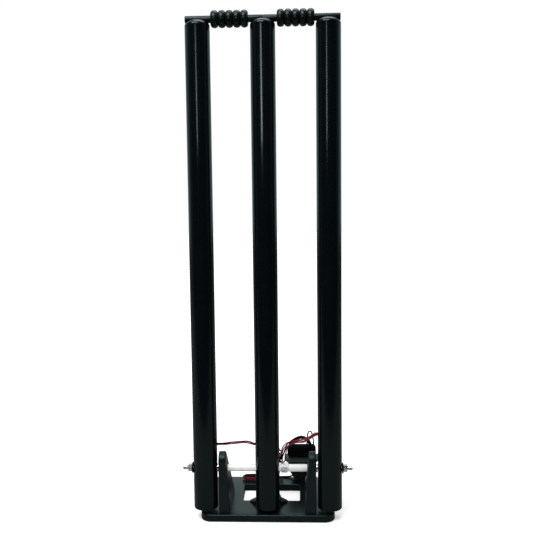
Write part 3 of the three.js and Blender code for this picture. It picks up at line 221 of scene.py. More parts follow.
# The link wires: thin stranded leads, red, black, white and clear, that join the lights of one stump
# to those of the next. They leave the middle stump's holes and enter the outer stumps'. They are drawn
# a little thicker than the real ones, so that they show. The routes are about the pivot.
WIRE_DIAMETER = 2.05 * MM
LINK_ROUTES = {
    "left_link_red": [
        (-75.1, 0.5, 35), (-72.4, 0.5, 35), (-68, 0.5, 35.1), (-62, 0.3, 35.4), (-56, 0, 36.2),
        (-48, -0.5, 37.1), (-41, -0.9, 38.1), (-35, -0.9, 38.6), (-29, -0.6, 38), (-24, 0.1, 36.6),
        (-20.4, 0.5, 35.4), (-17.4, 0.5, 35),
    ],
    "left_link_black": [
        (-75.1, -0.5, 37.1), (-72.4, -0.5, 37.1), (-68, -0.6, 37.2), (-62, -0.3, 37.5), (-56, 0, 38.4),
        (-48, 0.5, 39), (-41, 0.9, 39.4), (-35, 0.9, 39.9), (-29, 0.6, 40), (-24, -0.1, 39),
        (-20.4, -0.5, 37.5), (-17.4, -0.5, 37.1),
    ],
    "right_link_red": [
        (13.04, 11.56, 11.05), (15.4, 13.9, 11.05), (18.6, 15.8, 11.8), (20.6, 16.4, 14.6),
        (22, 15.8, 19.2), (24, 14.8, 23.4), (27.8, 13.2, 29.2), (32, 11.6, 34.8), (37, 9.8, 36.9),
        (43, 8, 39), (49, 6, 40.5), (55, 4, 42.8), (59.4, 2, 45.3), (64, 0.7, 47.9), (68.5, -0.6, 51.1),
        (71.6, -1.05, 52.6), (75.1, -1.05, 53.05),
    ],
    "right_link_black": [
        (11.56, 13.04, 8.95), (13.9, 15.4, 8.95), (18.2, 17.6, 8.6), (21.4, 17.4, 10.2),
        (23.8, 16.6, 15.6), (26, 15.4, 21.8), (29.2, 13.6, 27.4), (34, 11.6, 32.1), (41, 10.2, 35.9),
        (48.6, 8, 36.6), (55, 5.2, 39.2), (61, 3.4, 42.8), (66.4, 2, 47.4), (70.6, 1.05, 50.1),
        (75.1, 1.05, 50.95),
    ],
    "right_link_clear": [
        (13.04, 11.56, 8.95), (15.4, 13.9, 8.7), (17.8, 15.1, 6.6), (19.8, 15, 3.9), (22.4, 14.6, 2.9),
        (24.8, 14.1, 4.4), (26, 13.8, 8), (26.4, 13.5, 12), (27.1, 13, 17.4), (28.3, 12, 23.2),
        (30.6, 10.4, 29.2), (35, 8.8, 33), (43, 7, 36.2), (50, 4.9, 37.2), (54.4, 3, 38.3),
        (59.4, 1.4, 41.6), (65, -0.1, 45.6), (70.4, -1.05, 49.3), (75.1, -1.05, 50.95),
    ],
    "right_link_white": [
        (11.56, 13.04, 11.05), (13.9, 15.4, 11.05), (17.4, 18, 11.8), (19.6, 18.8, 14.6),
        (20.6, 18.2, 19.4), (22, 17.2, 24.2), (25.2, 15.6, 29.6), (29.4, 14.6, 33.2), (34, 13.6, 35),
        (38, 13, 35.6), (43.6, 12, 37), (50, 10, 38.6), (56, 7.8, 41.4), (60.6, 5.8, 44.4),
        (65, 4.4, 47.6), (70.4, 2.2, 52.4), (75.1, 1.05, 53.05),
    ],
}

red_pvc = insulation("red_pvc_insulation", "#6f0f20", "#931c32", 0.4, 0.15)
clear_pvc = insulation("clear_pvc_over_copper_strands", "#64222a", "#80404a", 0.25, 0.3)
white_pvc = insulation("white_pvc_insulation", "#a9aba6", "#d3d5d0", 0.3, 0.3)
WIRE_LOOKS = {
    "red": (red_pvc, "red_wire"),
    "black": (black_pvc, "black_wire"),
    "clear": (clear_pvc, "clear_wire"),
    "white": (white_pvc, "clear_wire"),
}

rod_low, rod_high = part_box("pivot_rod")
pivot = (rod_low + rod_high) / 2
for node, route in LINK_ROUTES.items():
    material, slot = WIRE_LOOKS[node.rsplit("_", 1)[1]]
    path = smooth_path([pivot + Vector(point) * MM for point in route], 6)
    free_cord(node, path, WIRE_DIAMETER, 12, material, "wicket")


# The pigtail: a black PVC lead that crosses the pivot. It leaves the middle stump's rear, hangs in a
# few curls beside the spring, so that it can flex, and runs along the plate to the splice.
PIGTAIL_DIAMETER = 2.2 * MM
PIGTAIL_CURLS = 4
PIGTAIL_PITCH = 4.2 * MM
PIGTAIL_RADIUS = 4.1 * MM
PIGTAIL_CENTRE = Vector((17.6, 28.5, 14.6)) * MM
CURL_STEPS = 28
PIGTAIL_HEAD = [
    (0, 16.2, 34), (0, 20.2, 34), (1.4, 24.8, 33.2), (5.4, 29, 30.6), (10.4, 31.8, 26.2),
    (14.2, 32.8, 21.4), (16, 32.8, 17.4),
]
PIGTAIL_DROP = [
    (20.6, 31.4, -5.4), (19.8, 28.8, -9.6), (17, 29.2, -15.6), (15.6, 33.4, -24), (15.2, 42.6, -35),
    (15.2, 56, -45.6), (15.6, 74, -54.6), (16.6, 92, -59.6),
]
PIGTAIL_RUN = [(13.4, -16.5, 0.5), (14.2, -8.5, 0), (13, -2.1, 0), (10, 0, 0), (6.3, 0, 0)]

splice_low, splice_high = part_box("lead_splice")
splice_centre = (splice_low + splice_high) / 2
head = [pivot + Vector(point) * MM for point in PIGTAIL_HEAD]
curls = []
for i in range(PIGTAIL_CURLS * CURL_STEPS + 1):
    turn = math.pi / 2 - i / CURL_STEPS * math.tau
    around = Vector((math.cos(turn), math.sin(turn), 0)) * PIGTAIL_RADIUS
    curls.append(pivot + PIGTAIL_CENTRE + around - Vector((0, 0, i / CURL_STEPS * PIGTAIL_PITCH)))
drop = [pivot + Vector(point) * MM for point in PIGTAIL_DROP]
run = [splice_centre + Vector(point) * MM for point in PIGTAIL_RUN]
pigtail_path = [
    *smooth_path([*head, curls[1]], 5)[:-1],
    *curls[1:-1],
    *smooth_path([curls[-1], *drop, *run], 6),
]
pigtail = tube_along("pigtail_lead_fine", pigtail_path, PIGTAIL_DIAMETER, 12, black_pvc)
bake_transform(pigtail)
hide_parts("pigtail_lead")


# The spare leads: the slack of the red and the black wire, each wound by hand into an oval coil that
# lies on the plate's rear strip, one inside the other. They run from the pedestal's hole to the splice.
# All heights and places are about the pedestal's foot, the plate's rear edge and its top.
COIL_PITCH = 2.5 * MM
COIL_CENTRE = Vector((-66.5, -12.5, 0)) * MM
COIL_HALF_WIDTH = 19 * MM
COIL_HALF_DEPTH = 8.4 * MM
COIL_LANE = 2.7 * MM
LOOP_STEPS = 48

# For each lead: its lane, its turns, the height of its lowest turn, and its routes to and from the coil.
SPARE_LEADS = {
    "spare_lead_red": (0, 1.75, 1.9 * MM, [
        (-0.9, -4.1, 3.2), (-3.5, -4.1, 3), (-9.3, -3.2, 1.2), (-21.3, -2.6, 1), (-35.3, -2.6, 1),
        (-47.3, -3, 1.2), (-57.3, -3.4, 1.6),
    ], [
        (-46.9, -9.4, 5.2), (-44.5, -8.2, 4.2), (-42.1, -8.8, 3.5), (-40.7, -9, 3.3),
    ]),
    "spare_lead_black": (COIL_LANE, 2.75, 1.1 * MM, [
        (-0.9, -5.9, 4.4), (-3.5, -5.9, 4.3), (-9.3, -5, 2.3), (-17.3, -4.4, 1.9), (-29.3, -4.4, 1.8),
        (-41.3, -4.8, 1.5), (-51.3, -5.8, 1.2), (-59.3, -6.5, 1.1),
    ], [
        (-49.2, -10.6, 7.3), (-46.5, -10, 7.4), (-43.5, -10.4, 5.6), (-42.1, -10.9, 3.7), (-40.7, -11, 3.3),
    ]),
}

plate_low, plate_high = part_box("base_plate")
SPLICE_OFFSET = 34.3 * MM
slack_corner = Vector((splice_centre.x + SPLICE_OFFSET, plate_high.y, plate_high.z))
for node, (lane, turns, low_height, head_route, end_route) in SPARE_LEADS.items():
    coil = []
    for i in range(round(turns * LOOP_STEPS) + 1):
        turn = math.pi / 2 + i / LOOP_STEPS * math.tau
        x = (COIL_HALF_WIDTH - lane) * math.cos(turn)
        y = (COIL_HALF_DEPTH - lane) * math.sin(turn)
        coil.append(slack_corner + COIL_CENTRE + Vector((x, y, low_height + i / LOOP_STEPS * COIL_PITCH)))
    head = [slack_corner + Vector(point) * MM for point in head_route]
    end = [slack_corner + Vector(point) * MM for point in end_route]
    path = [*smooth_path([*head, coil[0]], 6)[:-1], *coil[:-1], *smooth_path([coil[-1], *end], 5)]
    material, slot = WIRE_LOOKS[node.rsplit("_", 1)[1]]
    free_cord(node, path, WIRE_DIAMETER, 12, material, "base")


# The floor and the backdrop: a plain pale floor that runs out to white, under soft studio light. The
# world is white to the eye and behind the object, and dim on the camera's side, as in a dark room,
# so that gloss black stays black.
FLOOR_SIDE = 6.0
FLOOR_REAR = 9.0
FLOOR_FRONT = 1.6
FLOOR_DROP = 0.2 * MM
FADE_START = -0.62
FADE_END = -0.42
GLOW_START = 0.15
GLOW_END = 1.0

floor_paint = bpy.data.materials.new("white_studio_floor")
floor_paint.use_nodes = True
floor_surface = floor_paint.node_tree.nodes["Principled BSDF"]
floor_place = add(floor_paint, "ShaderNodeTexCoord").outputs["Object"]
floor_depth = add(floor_paint, "ShaderNodeSeparateXYZ", {"Vector": floor_place}).outputs["Y"]
# Painted shade: to reflected rays the floor is painted black far in front of the object and dim grey near and
# behind it, in place of its own pale white, so that reflections show a dark room.
floor_reflected_shade = add(floor_paint, "ShaderNodeMapRange", {
    "Value": floor_depth, "From Min": FADE_START, "From Max": FADE_END, "To Min": 0.0, "To Max": 0.3,
}, interpolation_type="SMOOTHSTEP")
floor_reach = add(floor_paint, "ShaderNodeVectorMath", {0: floor_place}, operation="LENGTH")
floor_glow = add(floor_paint, "ShaderNodeMapRange", {
    "Value": floor_reach.outputs["Value"], "From Min": GLOW_START, "From Max": GLOW_END,
    "To Min": 0.45, "To Max": 1.0,
})
floor_light = add(floor_paint, "ShaderNodeEmission", {
    "Color": linear("#ffffff"), "Strength": floor_glow.outputs[0],
})
floor_rays = add(floor_paint, "ShaderNodeLightPath")
floor_tone = add(floor_paint, "ShaderNodeMix", {
    "Factor": floor_rays.outputs["Is Glossy Ray"], 6: linear("#f0f0f0"), 7: floor_reflected_shade.outputs[0],
}, data_type="RGBA")
feed(floor_paint, floor_surface, {
    "Base Color": floor_tone.outputs[2], "Roughness": 0.9, "Specular IOR Level": 0.0,
})
floor_both = add(floor_paint, "ShaderNodeAddShader", {
    0: floor_surface.outputs[0], 1: floor_light.outputs[0],
})
floor_seen = add(floor_paint, "ShaderNodeMixShader", {
    "Fac": floor_rays.outputs["Is Camera Ray"], 1: floor_surface.outputs[0], 2: floor_both.outputs[0],
})
feed(floor_paint, floor_paint.node_tree.nodes["Material Output"], {"Surface": floor_seen.outputs[0]})

floor_corners = [
    (-FLOOR_SIDE, -FLOOR_FRONT, -FLOOR_DROP), (FLOOR_SIDE, -FLOOR_FRONT, -FLOOR_DROP),
    (FLOOR_SIDE, FLOOR_REAR, -FLOOR_DROP), (-FLOOR_SIDE, FLOOR_REAR, -FLOOR_DROP),
]
floor = mesh_piece("studio_floor", floor_corners, [(0, 1, 2, 3)], floor_paint)

world = bpy.data.worlds.new("studio")
bpy.context.scene.world = world
world.use_nodes = True
SKY_REAR = (0, 0.995, 0.1)
sky_direction = add(world, "ShaderNodeTexCoord").outputs["Generated"]
sky_rear = add(world, "ShaderNodeVectorMath", {0: sky_direction, 1: SKY_REAR}, operation="DOT_PRODUCT")
sky_glossy = add(world, "ShaderNodeMapRange", {
    "Value": sky_rear.outputs["Value"], "From Min": -0.55, "From Max": 0.75, "To Min": 0.01, "To Max": 0.9,
}, interpolation_type="SMOOTHSTEP")
sky_rays = add(world, "ShaderNodeLightPath")
sky_room = add(world, "ShaderNodeBackground", {"Color": linear("#ffffff"), "Strength": 0.3})
sky_gloss = add(world, "ShaderNodeBackground", {
    "Color": linear("#d4e8ea"), "Strength": sky_glossy.outputs[0],
})
sky_white = add(world, "ShaderNodeBackground", {"Color": linear("#ffffff"), "Strength": 1.0})
sky_shine = add(world, "ShaderNodeMixShader", {
    "Fac": sky_rays.outputs["Is Glossy Ray"], 1: sky_room.outputs[0], 2: sky_gloss.outputs[0],
})
sky_seen = add(world, "ShaderNodeMixShader", {
    "Fac": sky_rays.outputs["Is Camera Ray"], 1: sky_shine.outputs[0], 2: sky_white.outputs[0],
})
feed(world, world.node_tree.nodes["World Output"], {"Surface": sky_seen.outputs[0]})

# Each studio lamp is a rectangle that faces a point: its place, that point, its width and height, its
# power in watts, and the angle to which a grid narrows its beam.
LAMPS = {
    "key_light": ((-0.5, -1.1, 2.2), (0, 0, 0.1), (1.6, 1.2), 45, 180),
    "strip_light": ((-0.15, -0.66, 0.83), (0, -0.06, 0.75), (0.14, 0.46), 0.036, 20),
    "top_light": ((0.2, 0.5, 2.4), (0, 0, 0.2), (1.6, 0.8), 14, 180),
}
for name, (place, aim, size, power, spread) in LAMPS.items():
    lamp = bpy.data.objects.new(name, bpy.data.lights.new(name, "AREA"))
    lamp.data.shape = "RECTANGLE"
    lamp.data.size, lamp.data.size_y = size
    lamp.data.energy = power
    lamp.data.spread = math.radians(spread)
    facing = (Vector(aim) - Vector(place)).to_track_quat("-Z", "Y").to_matrix().to_4x4()
    lamp.matrix_world = Matrix.Translation(place) @ facing
    bpy.context.scene.collection.objects.link(lamp)


# The base plate: a slab of steel, laser cut with a window and rounded corners, countersunk from below
# for its screws, and powder coated in satin black. The coat flows a little and leaves a faint orange
# peel, and it softens every edge.
PLATE_CORNER = 16 * MM
PLATE_EDGE_ROUND = 2 * MM
WINDOW_WIDTH = 89 * MM
WINDOW_DEPTH = 64 * MM
WINDOW_CORNER = 2.5 * MM
WINDOW_OFFSET = 3.2 * MM
WINDOW_EASE = 0.4 * MM
FRONT_STRIP = 54 * MM
FIT = 0.2 * MM
OVERRUN = 2 * MM
HOLE_SIDES = 48


def arc(centre_u, centre_v, radius, start, end, steps):
    """Points on an arc in a drawing's plane, with its angles in degrees."""
    turns = [math.radians(start + (end - start) * i / steps) for i in range(steps + 1)]
    return [(centre_u + radius * math.cos(t), centre_v + radius * math.sin(t)) for t in turns]


def rounded(left, right, low, high, radius, steps=12):
    return [
        *arc(right - radius, low + radius, radius, -90, 0, steps),
        *arc(right - radius, high - radius, radius, 0, 90, steps),
        *arc(left + radius, high - radius, radius, 90, 180, steps),
        *arc(left + radius, low + radius, radius, 180, 270, steps),
    ]


def stacked(name, layers, axis, material):
    """A solid through outlines of one count, each at its own height along the named axis."""
    def place(u, v, w):
        return {"x": (w, u, v), "y": (u, w, v), "z": (u, v, w)}[axis]
    count = len(layers[0][1])
    points = [place(u, v, height) for height, outline in layers for u, v in outline]
    faces = [tuple(range(count))[::-1], tuple(range(len(points) - count, len(points)))]
    for start in range(0, len(points) - count, count):
        for i in range(count):
            j = (i + 1) % count
            faces.append((start + i, start + j, start + j + count, start + i + count))
    return outwards(mesh_piece(name, points, faces, material))


def slab(name, edges, corner, low, high, ease, axis, material, steps=5):
    """A block with rounded corners, whose edges at both ends are eased to a quarter round."""
    left, right, bottom, top = edges
    layers = []
    for i in range(steps + 1):
        turn = i / steps * math.pi / 2
        inset, rise = ease * (1 - math.sin(turn)), ease * (1 - math.cos(turn))
        outline = rounded(left + inset, right - inset, bottom + inset, top - inset, corner - inset, 16)
        layers.append((low + rise, outline))
    layers += [(low + high - height, outline) for height, outline in reversed(layers)]
    return stacked(name, layers, axis, material)


def outwards(piece):
    """Turns a closed piece's faces outwards."""
    shell = bmesh.new()
    shell.from_mesh(piece.data)
    bmesh.ops.recalc_face_normals(shell, faces=shell.faces)
    shell.to_mesh(piece.data)
    shell.free()
    return piece


def turned(name, profile, axis, sides, material, smooth_below=SMOOTH_BELOW):
    """A profile of (radius, height) points, from low to high, turned round the named axis."""
    closed = profile[0] == profile[-1]
    rows = profile[:-1] if closed else profile
    points, rings = [], []
    for radius, height in rows:
        count = 1 if radius == 0 else sides
        rings.append(list(range(len(points), len(points) + count)))
        for k in range(count):
            turn = k / sides * math.tau
            u, v = radius * math.cos(turn), radius * math.sin(turn)
            points.append({"x": (height, u, v), "z": (u, v, height)}[axis])
    faces = []
    for first, second in zip(rings, rings[1:] + (rings[:1] if closed else [])):
        for k in range(sides):
            corners = [first[k % len(first)], first[(k + 1) % len(first)]]
            corners += [second[(k + 1) % len(second)], second[k % len(second)]]
            faces.append(tuple(dict.fromkeys(corners)))
    return outwards(mesh_piece(name, points, faces, material, smooth_below))


def moved(piece, place):
    piece.data.transform(Matrix.Translation(place))
    return piece


def combine(piece, tools, how="DIFFERENCE"):
    """Cuts a piece by closed tools, or joins it to them, and removes the tools."""
    for tool in tools:
        step = piece.modifiers.new("combine", "BOOLEAN")
        step.operation = how
        step.solver = "EXACT"
        step.object = tool
    return applied(piece, tools)


def applied(piece, spent=()):
    """Makes a piece's modifiers part of its mesh."""
    graph = bpy.context.evaluated_depsgraph_get()
    mesh = bpy.data.meshes.new_from_object(piece.evaluated_get(graph))
    piece.modifiers.clear()
    piece.data = mesh
    mesh.shade_smooth()
    mesh.set_sharp_from_angle(angle=math.radians(SMOOTH_BELOW))
    for tool in spent:
        bpy.data.objects.remove(tool)
    return piece


def satin_coat(name, dark, light, roughness, peel_mm, peel_depth_mm, shine=0.25):
    """A satin finish with a faint uneven sheen and an orange peel of the given spacing."""
    made = bpy.data.materials.new(name)
    made.use_nodes = True
    place = add(made, "ShaderNodeTexCoord").outputs["Object"]
    cloud = add(made, "ShaderNodeTexNoise", {"Vector": place, "Scale": 1 / (22 * MM), "Detail": 4.0})
    tint = add(made, "ShaderNodeMix", {
        "Factor": cloud.outputs["Fac"], 6: linear(dark), 7: linear(light),
    }, data_type="RGBA")
    sheen = add(made, "ShaderNodeMapRange", {
        "Value": cloud.outputs["Fac"], "From Min": 0.3, "From Max": 0.7,
        "To Min": roughness * 0.88, "To Max": roughness * 1.12,
    })
    peel = add(made, "ShaderNodeTexNoise", {"Vector": place, "Scale": 1 / (peel_mm * MM), "Detail": 2.0})
    bump = add(made, "ShaderNodeBump", {
        "Height": peel.outputs["Fac"], "Strength": 0.5, "Distance": peel_depth_mm * MM,
    })
    feed(made, made.node_tree.nodes["Principled BSDF"], {
        "Base Color": tint.outputs[2], "Roughness": sheen.outputs[0], "Normal": bump.outputs["Normal"],
        "Specular IOR Level": shine, "Specular Tint": linear("#d6ffff"),
    })
    return made


powder_coat = satin_coat("powder_coat_on_steel", "#080c0e", "#0f1416", 0.28, 1.2, 0.05)

SCREW_DIAMETER = 6 * MM
SCREW_HEAD_DIAMETER = 12 * MM
SCREW_HEAD_DEPTH = 3.3 * MM
SCREW_SINK = 0.3 * MM
SCREW_LENGTH = 24 * MM
STOP_SCREW_LENGTH = 20 * MM
SCREW_LENGTHS = {
    "left_ear_screw_front": SCREW_LENGTH,
    "left_ear_screw_rear": SCREW_LENGTH,
    "right_ear_screw_front": SCREW_LENGTH,
    "right_ear_screw_rear": SCREW_LENGTH,
    "pedestal_screw": SCREW_LENGTH,
    "stop_block_screw": STOP_SCREW_LENGTH,
}


def middle_of(node):
    low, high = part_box(node)
    return (low + high) / 2


def screw_cutter(node):
    """The clearance for a countersunk screw that comes up through the plate."""
    head, shank = SCREW_HEAD_DIAMETER / 2 + FIT, SCREW_DIAMETER / 2 + FIT
    reach, place = SCREW_LENGTHS[node] + OVERRUN, middle_of(node)
    profile = [
        (0, -OVERRUN), (head, -OVERRUN), (head, SCREW_SINK), (shank, SCREW_SINK + SCREW_HEAD_DEPTH),
        (shank, reach), (0, reach),
    ]
    return moved(turned("cutter", profile, "z", HOLE_SIDES, powder_coat), (place.x, place.y, 0))


plate_edges = (plate_low.x, plate_high.x, plate_low.y, plate_high.y)
plate = slab("base_plate_fine", plate_edges, PLATE_CORNER, plate_low.z, plate_high.z, PLATE_EDGE_ROUND,
             "z", powder_coat)
window_left = WINDOW_OFFSET - WINDOW_WIDTH / 2
window_low = plate_low.y + FRONT_STRIP
layers = []
for height, grow in (
    (plate_low.z - OVERRUN, WINDOW_EASE), (plate_low.z, WINDOW_EASE), (plate_low.z + WINDOW_EASE, 0),
    (plate_high.z - WINDOW_EASE, 0), (plate_high.z, WINDOW_EASE), (plate_high.z + OVERRUN, WINDOW_EASE),
):
    layers.append((height, rounded(window_left - grow, window_left + WINDOW_WIDTH + grow, window_low - grow,
                                   window_low + WINDOW_DEPTH + grow, WINDOW_CORNER + grow)))
combine(plate, [stacked("cutter", layers, "z", powder_coat)])
combine(plate, [screw_cutter(node) for node in SCREW_LENGTHS])
fitted_over(plate, "base")


# The screws: bright zinc-plated steel with countersunk heads and hexagon sockets, driven up through the
# plate into the ears, the stop block and the pedestal. The plating is bright, with a faint fine grain.
SOCKET_WIDTH = 4 * MM
SOCKET_DEPTH = 2.2 * MM
SCREW_TIP = 0.8 * MM


def bright_metal(name, colour, roughness, grain_mm, stretch, depth_mm, metallic=1.0):
    """A bright metal whose fine marks run the way it was turned or drawn."""
    made = bpy.data.materials.new(name)
    made.use_nodes = True
    place = add(made, "ShaderNodeTexCoord").outputs["Object"]
    drawn = add(made, "ShaderNodeMapping", {"Vector": place, "Scale": stretch}).outputs["Vector"]
    grain = add(made, "ShaderNodeTexNoise", {"Vector": drawn, "Scale": 1 / (grain_mm * MM), "Detail": 3.0})
    sheen = add(made, "ShaderNodeMapRange", {
        "Value": grain.outputs["Fac"], "From Min": 0.3, "From Max": 0.7,
        "To Min": roughness * 0.8, "To Max": roughness * 1.2,
    })
    bump = add(made, "ShaderNodeBump", {
        "Height": grain.outputs["Fac"], "Strength": 0.4, "Distance": depth_mm * MM,
    })
    feed(made, made.node_tree.nodes["Principled BSDF"], {
        "Base Color": linear(colour), "Metallic": metallic,
        "Roughness": sheen.outputs[0], "Normal": bump.outputs["Normal"],
    })
    return made


def bar(name, radius, low, high, axis, sides, material, place=(0, 0, 0)):
    """A plain round or many-sided bar along the named axis, about a place."""
    profile = [(0, low), (radius, low), (radius, high), (0, high)]
    return moved(turned(name, profile, axis, sides, material), place)


zinc_plate = bright_metal("bright_zinc_plate_on_steel", "#e6e8ea", 0.18, 0.35, (1, 1, 1), 0.01)

for node, length in SCREW_LENGTHS.items():
    head, shank = SCREW_HEAD_DIAMETER / 2, SCREW_DIAMETER / 2
    profile = [
        (0, 0), (head - FIT, 0), (head, FIT), (shank, SCREW_HEAD_DEPTH), (shank, length - SCREW_TIP),
        (shank - SCREW_TIP, length), (0, length),
    ]
    screw = turned(node + "_fine", profile, "z", HOLE_SIDES, zinc_plate)
    combine(screw, [bar("cutter", SOCKET_WIDTH / math.sqrt(3), -OVERRUN, SOCKET_DEPTH, "z", 6, zinc_plate)])
    place = middle_of(node)
    moved(screw, (place.x, place.y, SCREW_SINK))
    fitted_over(screw, "base")


# The ears: cast steel brackets with a rounded top and a long slope down to the rear, drafted on their
# inner faces, linished and powder coated with the plate. Each holds a plain bronze bush for the rod.
EAR_FRONT_REACH = 14 * MM
EAR_REAR_REACH = 68 * MM
EAR_TOP_RISE = 25 * MM
EAR_TOP_RADIUS = 13 * MM
EAR_TOE_HEIGHT = 6 * MM
EAR_EDGE_ROUND = 1.8 * MM
EAR_THICKNESS = 12 * MM
EAR_DRAFT_SHARE = 0.07
BUSH_DIAMETER = 12 * MM
BUSH_EASE = 0.4 * MM
ROD_HOLE = 3.25 * MM
CUT_REACH = 50 * MM


def prism(name, outline, low, high, axis, material):
    """An outline drawn in the two other axes, in their order, and drawn out along the named one."""
    return stacked(name, [(low, outline), (high, outline)], axis, material)


def eased(piece, width, segments, above):
    """Rounds the edges of a piece that are sharper than an angle."""
    step = piece.modifiers.new("ease", "BEVEL")
    step.width = width
    step.segments = segments
    step.limit_method = "ANGLE"
    step.angle_limit = math.radians(above)
    step.use_clamp_overlap = True
    return applied(piece)


cast_coat = satin_coat("powder_coat_on_cast_steel", "#0a0e10", "#12181a", 0.34, 2.0, 0.16)
bronze = bright_metal("oiled_sintered_bronze", "#4c4337", 0.5, 0.5, (1, 1, 1), 0.02)

toe = -pivot.z + plate_high.z + EAR_TOE_HEIGHT
top_y = EAR_TOP_RADIUS - EAR_FRONT_REACH
top_z = EAR_TOP_RISE - EAR_TOP_RADIUS
slope = math.atan2(toe - top_z, EAR_REAR_REACH - top_y)
slope += math.acos(EAR_TOP_RADIUS / math.hypot(EAR_REAR_REACH - top_y, toe - top_z))
sole = plate_high.z - pivot.z - EAR_EDGE_ROUND - OVERRUN
ear_outline = [
    (-EAR_FRONT_REACH, sole), (EAR_REAR_REACH, sole), (EAR_REAR_REACH, toe),
    *arc(top_y, top_z, EAR_TOP_RADIUS, math.degrees(slope), 180, 40),
]
for side, label in ((-1, "left"), (1, "right")):
    ear_low, ear_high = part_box(label + "_ear")
    outer = ear_high.x if side > 0 else ear_low.x
    middle = Vector((outer - side * EAR_THICKNESS / 2, pivot.y, pivot.z))
    ear = prism(label + "_ear_fine", ear_outline, -EAR_THICKNESS / 2, EAR_THICKNESS / 2, "x", cast_coat)
    eased(ear, EAR_EDGE_ROUND, 5, 40)
    for vertex in ear.data.vertices:
        if side * vertex.co.x < 0:
            vertex.co.x += EAR_DRAFT_SHARE * vertex.co.z * side
    moved(ear, middle)
    beneath = rounded(middle.x - CUT_REACH, middle.x + CUT_REACH, middle.y - CUT_REACH * 2,
                      middle.y + CUT_REACH * 2, EAR_EDGE_ROUND)
    under = prism("cutter", beneath, -CUT_REACH, plate_high.z, "z", cast_coat)
    bore = bar("cutter", BUSH_DIAMETER / 2 + FIT, -CUT_REACH, CUT_REACH, "x", 64, cast_coat, middle)
    drills = [screw_cutter(f"{label}_ear_screw_{end}") for end in ("front", "rear")]
    combine(ear, [under, bore, *drills])
    fitted_over(ear, "base")
    bush_low, bush_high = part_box(label + "_bush")
    bush_radius = BUSH_DIAMETER / 2
    bush = turned(label + "_bush_fine", [
        (ROD_HOLE, bush_low.x), (bush_radius - BUSH_EASE, bush_low.x), (bush_radius, bush_low.x + BUSH_EASE),
        (bush_radius, bush_high.x - BUSH_EASE), (bush_radius - BUSH_EASE, bush_high.x),
        (ROD_HOLE, bush_high.x), (ROD_HOLE, bush_low.x),
    ], "x", 64, bronze)
    moved(bush, (0, pivot.y, pivot.z))
    fitted_over(bush, "base")


# The stop block: moulded black rubber with sloping shoulders, screwed down behind the middle stump's
# foot, which rests in its hollow seat. Rubber is dull, with a fine grain from the mould.
STOP_WIDTH = 58 * MM
STOP_DEPTH = 19 * MM
STOP_EDGE_ROUND = 0.9 * MM
STOP_FRONT_SHARES = [
    (-1, 0), (1, 0), (1, 0.06), (0.66, 0.36), (0.52, 1), (-0.52, 1), (-0.66, 0.36), (-1, 0.06),
]
STOP_PLAN_SHARES = [(-0.6, -1), (0.6, -1), (1, -0.28), (1, 0), (-1, 0), (-1, -0.28)]
STUMP_RADIUS = 17.8 * MM
RUNNING_GAP = 0.3 * MM
SPRING_WIRE = 1.5 * MM
SPRING_FOOT = Vector((12, 27, 0)) * MM
SPRING_SEAT = 4 * MM

rubber = satin_coat("moulded_rubber", "#0a0a0a", "#151515", 0.6, 0.8, 0.06, 0.3)

stop_low, stop_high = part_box("stop_block")
stop_height = stop_high.z - stop_low.z
front_outline = [(u * STOP_WIDTH / 2, stop_low.z + v * stop_height) for u, v in STOP_FRONT_SHARES]
plan_outline = [(u * STOP_WIDTH / 2, stop_high.y + v * STOP_DEPTH) for u, v in STOP_PLAN_SHARES]
stop = prism("stop_block_fine", front_outline, stop_high.y - STOP_DEPTH, stop_high.y, "y", rubber)
plan = prism("cutter", plan_outline, stop_low.z - OVERRUN, stop_high.z + OVERRUN, "z", rubber)
combine(stop, [plan], "INTERSECT")
seat_place = (0, pivot.y, 0)
seat = bar("cutter", STUMP_RADIUS + RUNNING_GAP, 0, CUT_REACH * 2, "z", 96, rubber, seat_place)
combine(stop, [seat])
eased(stop, STOP_EDGE_ROUND, 3, 25)
leg_place = (SPRING_FOOT.x, pivot.y + SPRING_FOOT.y, stop_high.z)
leg_hole = bar("cutter", SPRING_WIRE / 2 + FIT, -SPRING_SEAT, SPRING_SEAT, "z", 24, rubber, leg_place)
combine(stop, [leg_hole, screw_cutter("stop_block_screw")])
fitted_over(stop, "base")


# The pedestal: glass-filled nylon, moulded in one with its tray, which carries the control box clear of
# the tipping stumps. The mould leaves a fine even grain all over.
PEDESTAL_SHARES = [
    (-0.34, 0), (0.34, 0), (0.42, 0.12), (0.72, 0.42), (0.84, 1), (-0.84, 1), (-0.72, 0.42), (-0.42, 0.12),
]
BOX_WIDTH = 46.8 * MM
PEDESTAL_DEPTH = 15 * MM
PEDESTAL_EDGE_ROUND = 0.7 * MM
PEDESTAL_X = 47.3 * MM
TRAY_HEIGHT = 50.5 * MM
TRAY_THICKNESS = 4 * MM
TRAY_CHAMFER_WIDTH = 9.4 * MM
TRAY_CHAMFER_DEPTH = 17 * MM
GUSSET_THICKNESS = 5 * MM
GUSSET_SET_BACK = 4 * MM
GUSSET_DROP_SHARE = 0.6
LEAD_HOLE = Vector((0, -5, 3.8)) * MM
LEAD_HOLE_RADIUS = 2.4 * MM
LEAD_HOLE_DEPTH = 4 * MM

nylon = satin_coat("moulded_nylon", "#161d1d", "#232d2d", 0.45, 0.9, 0.04, 0.3)

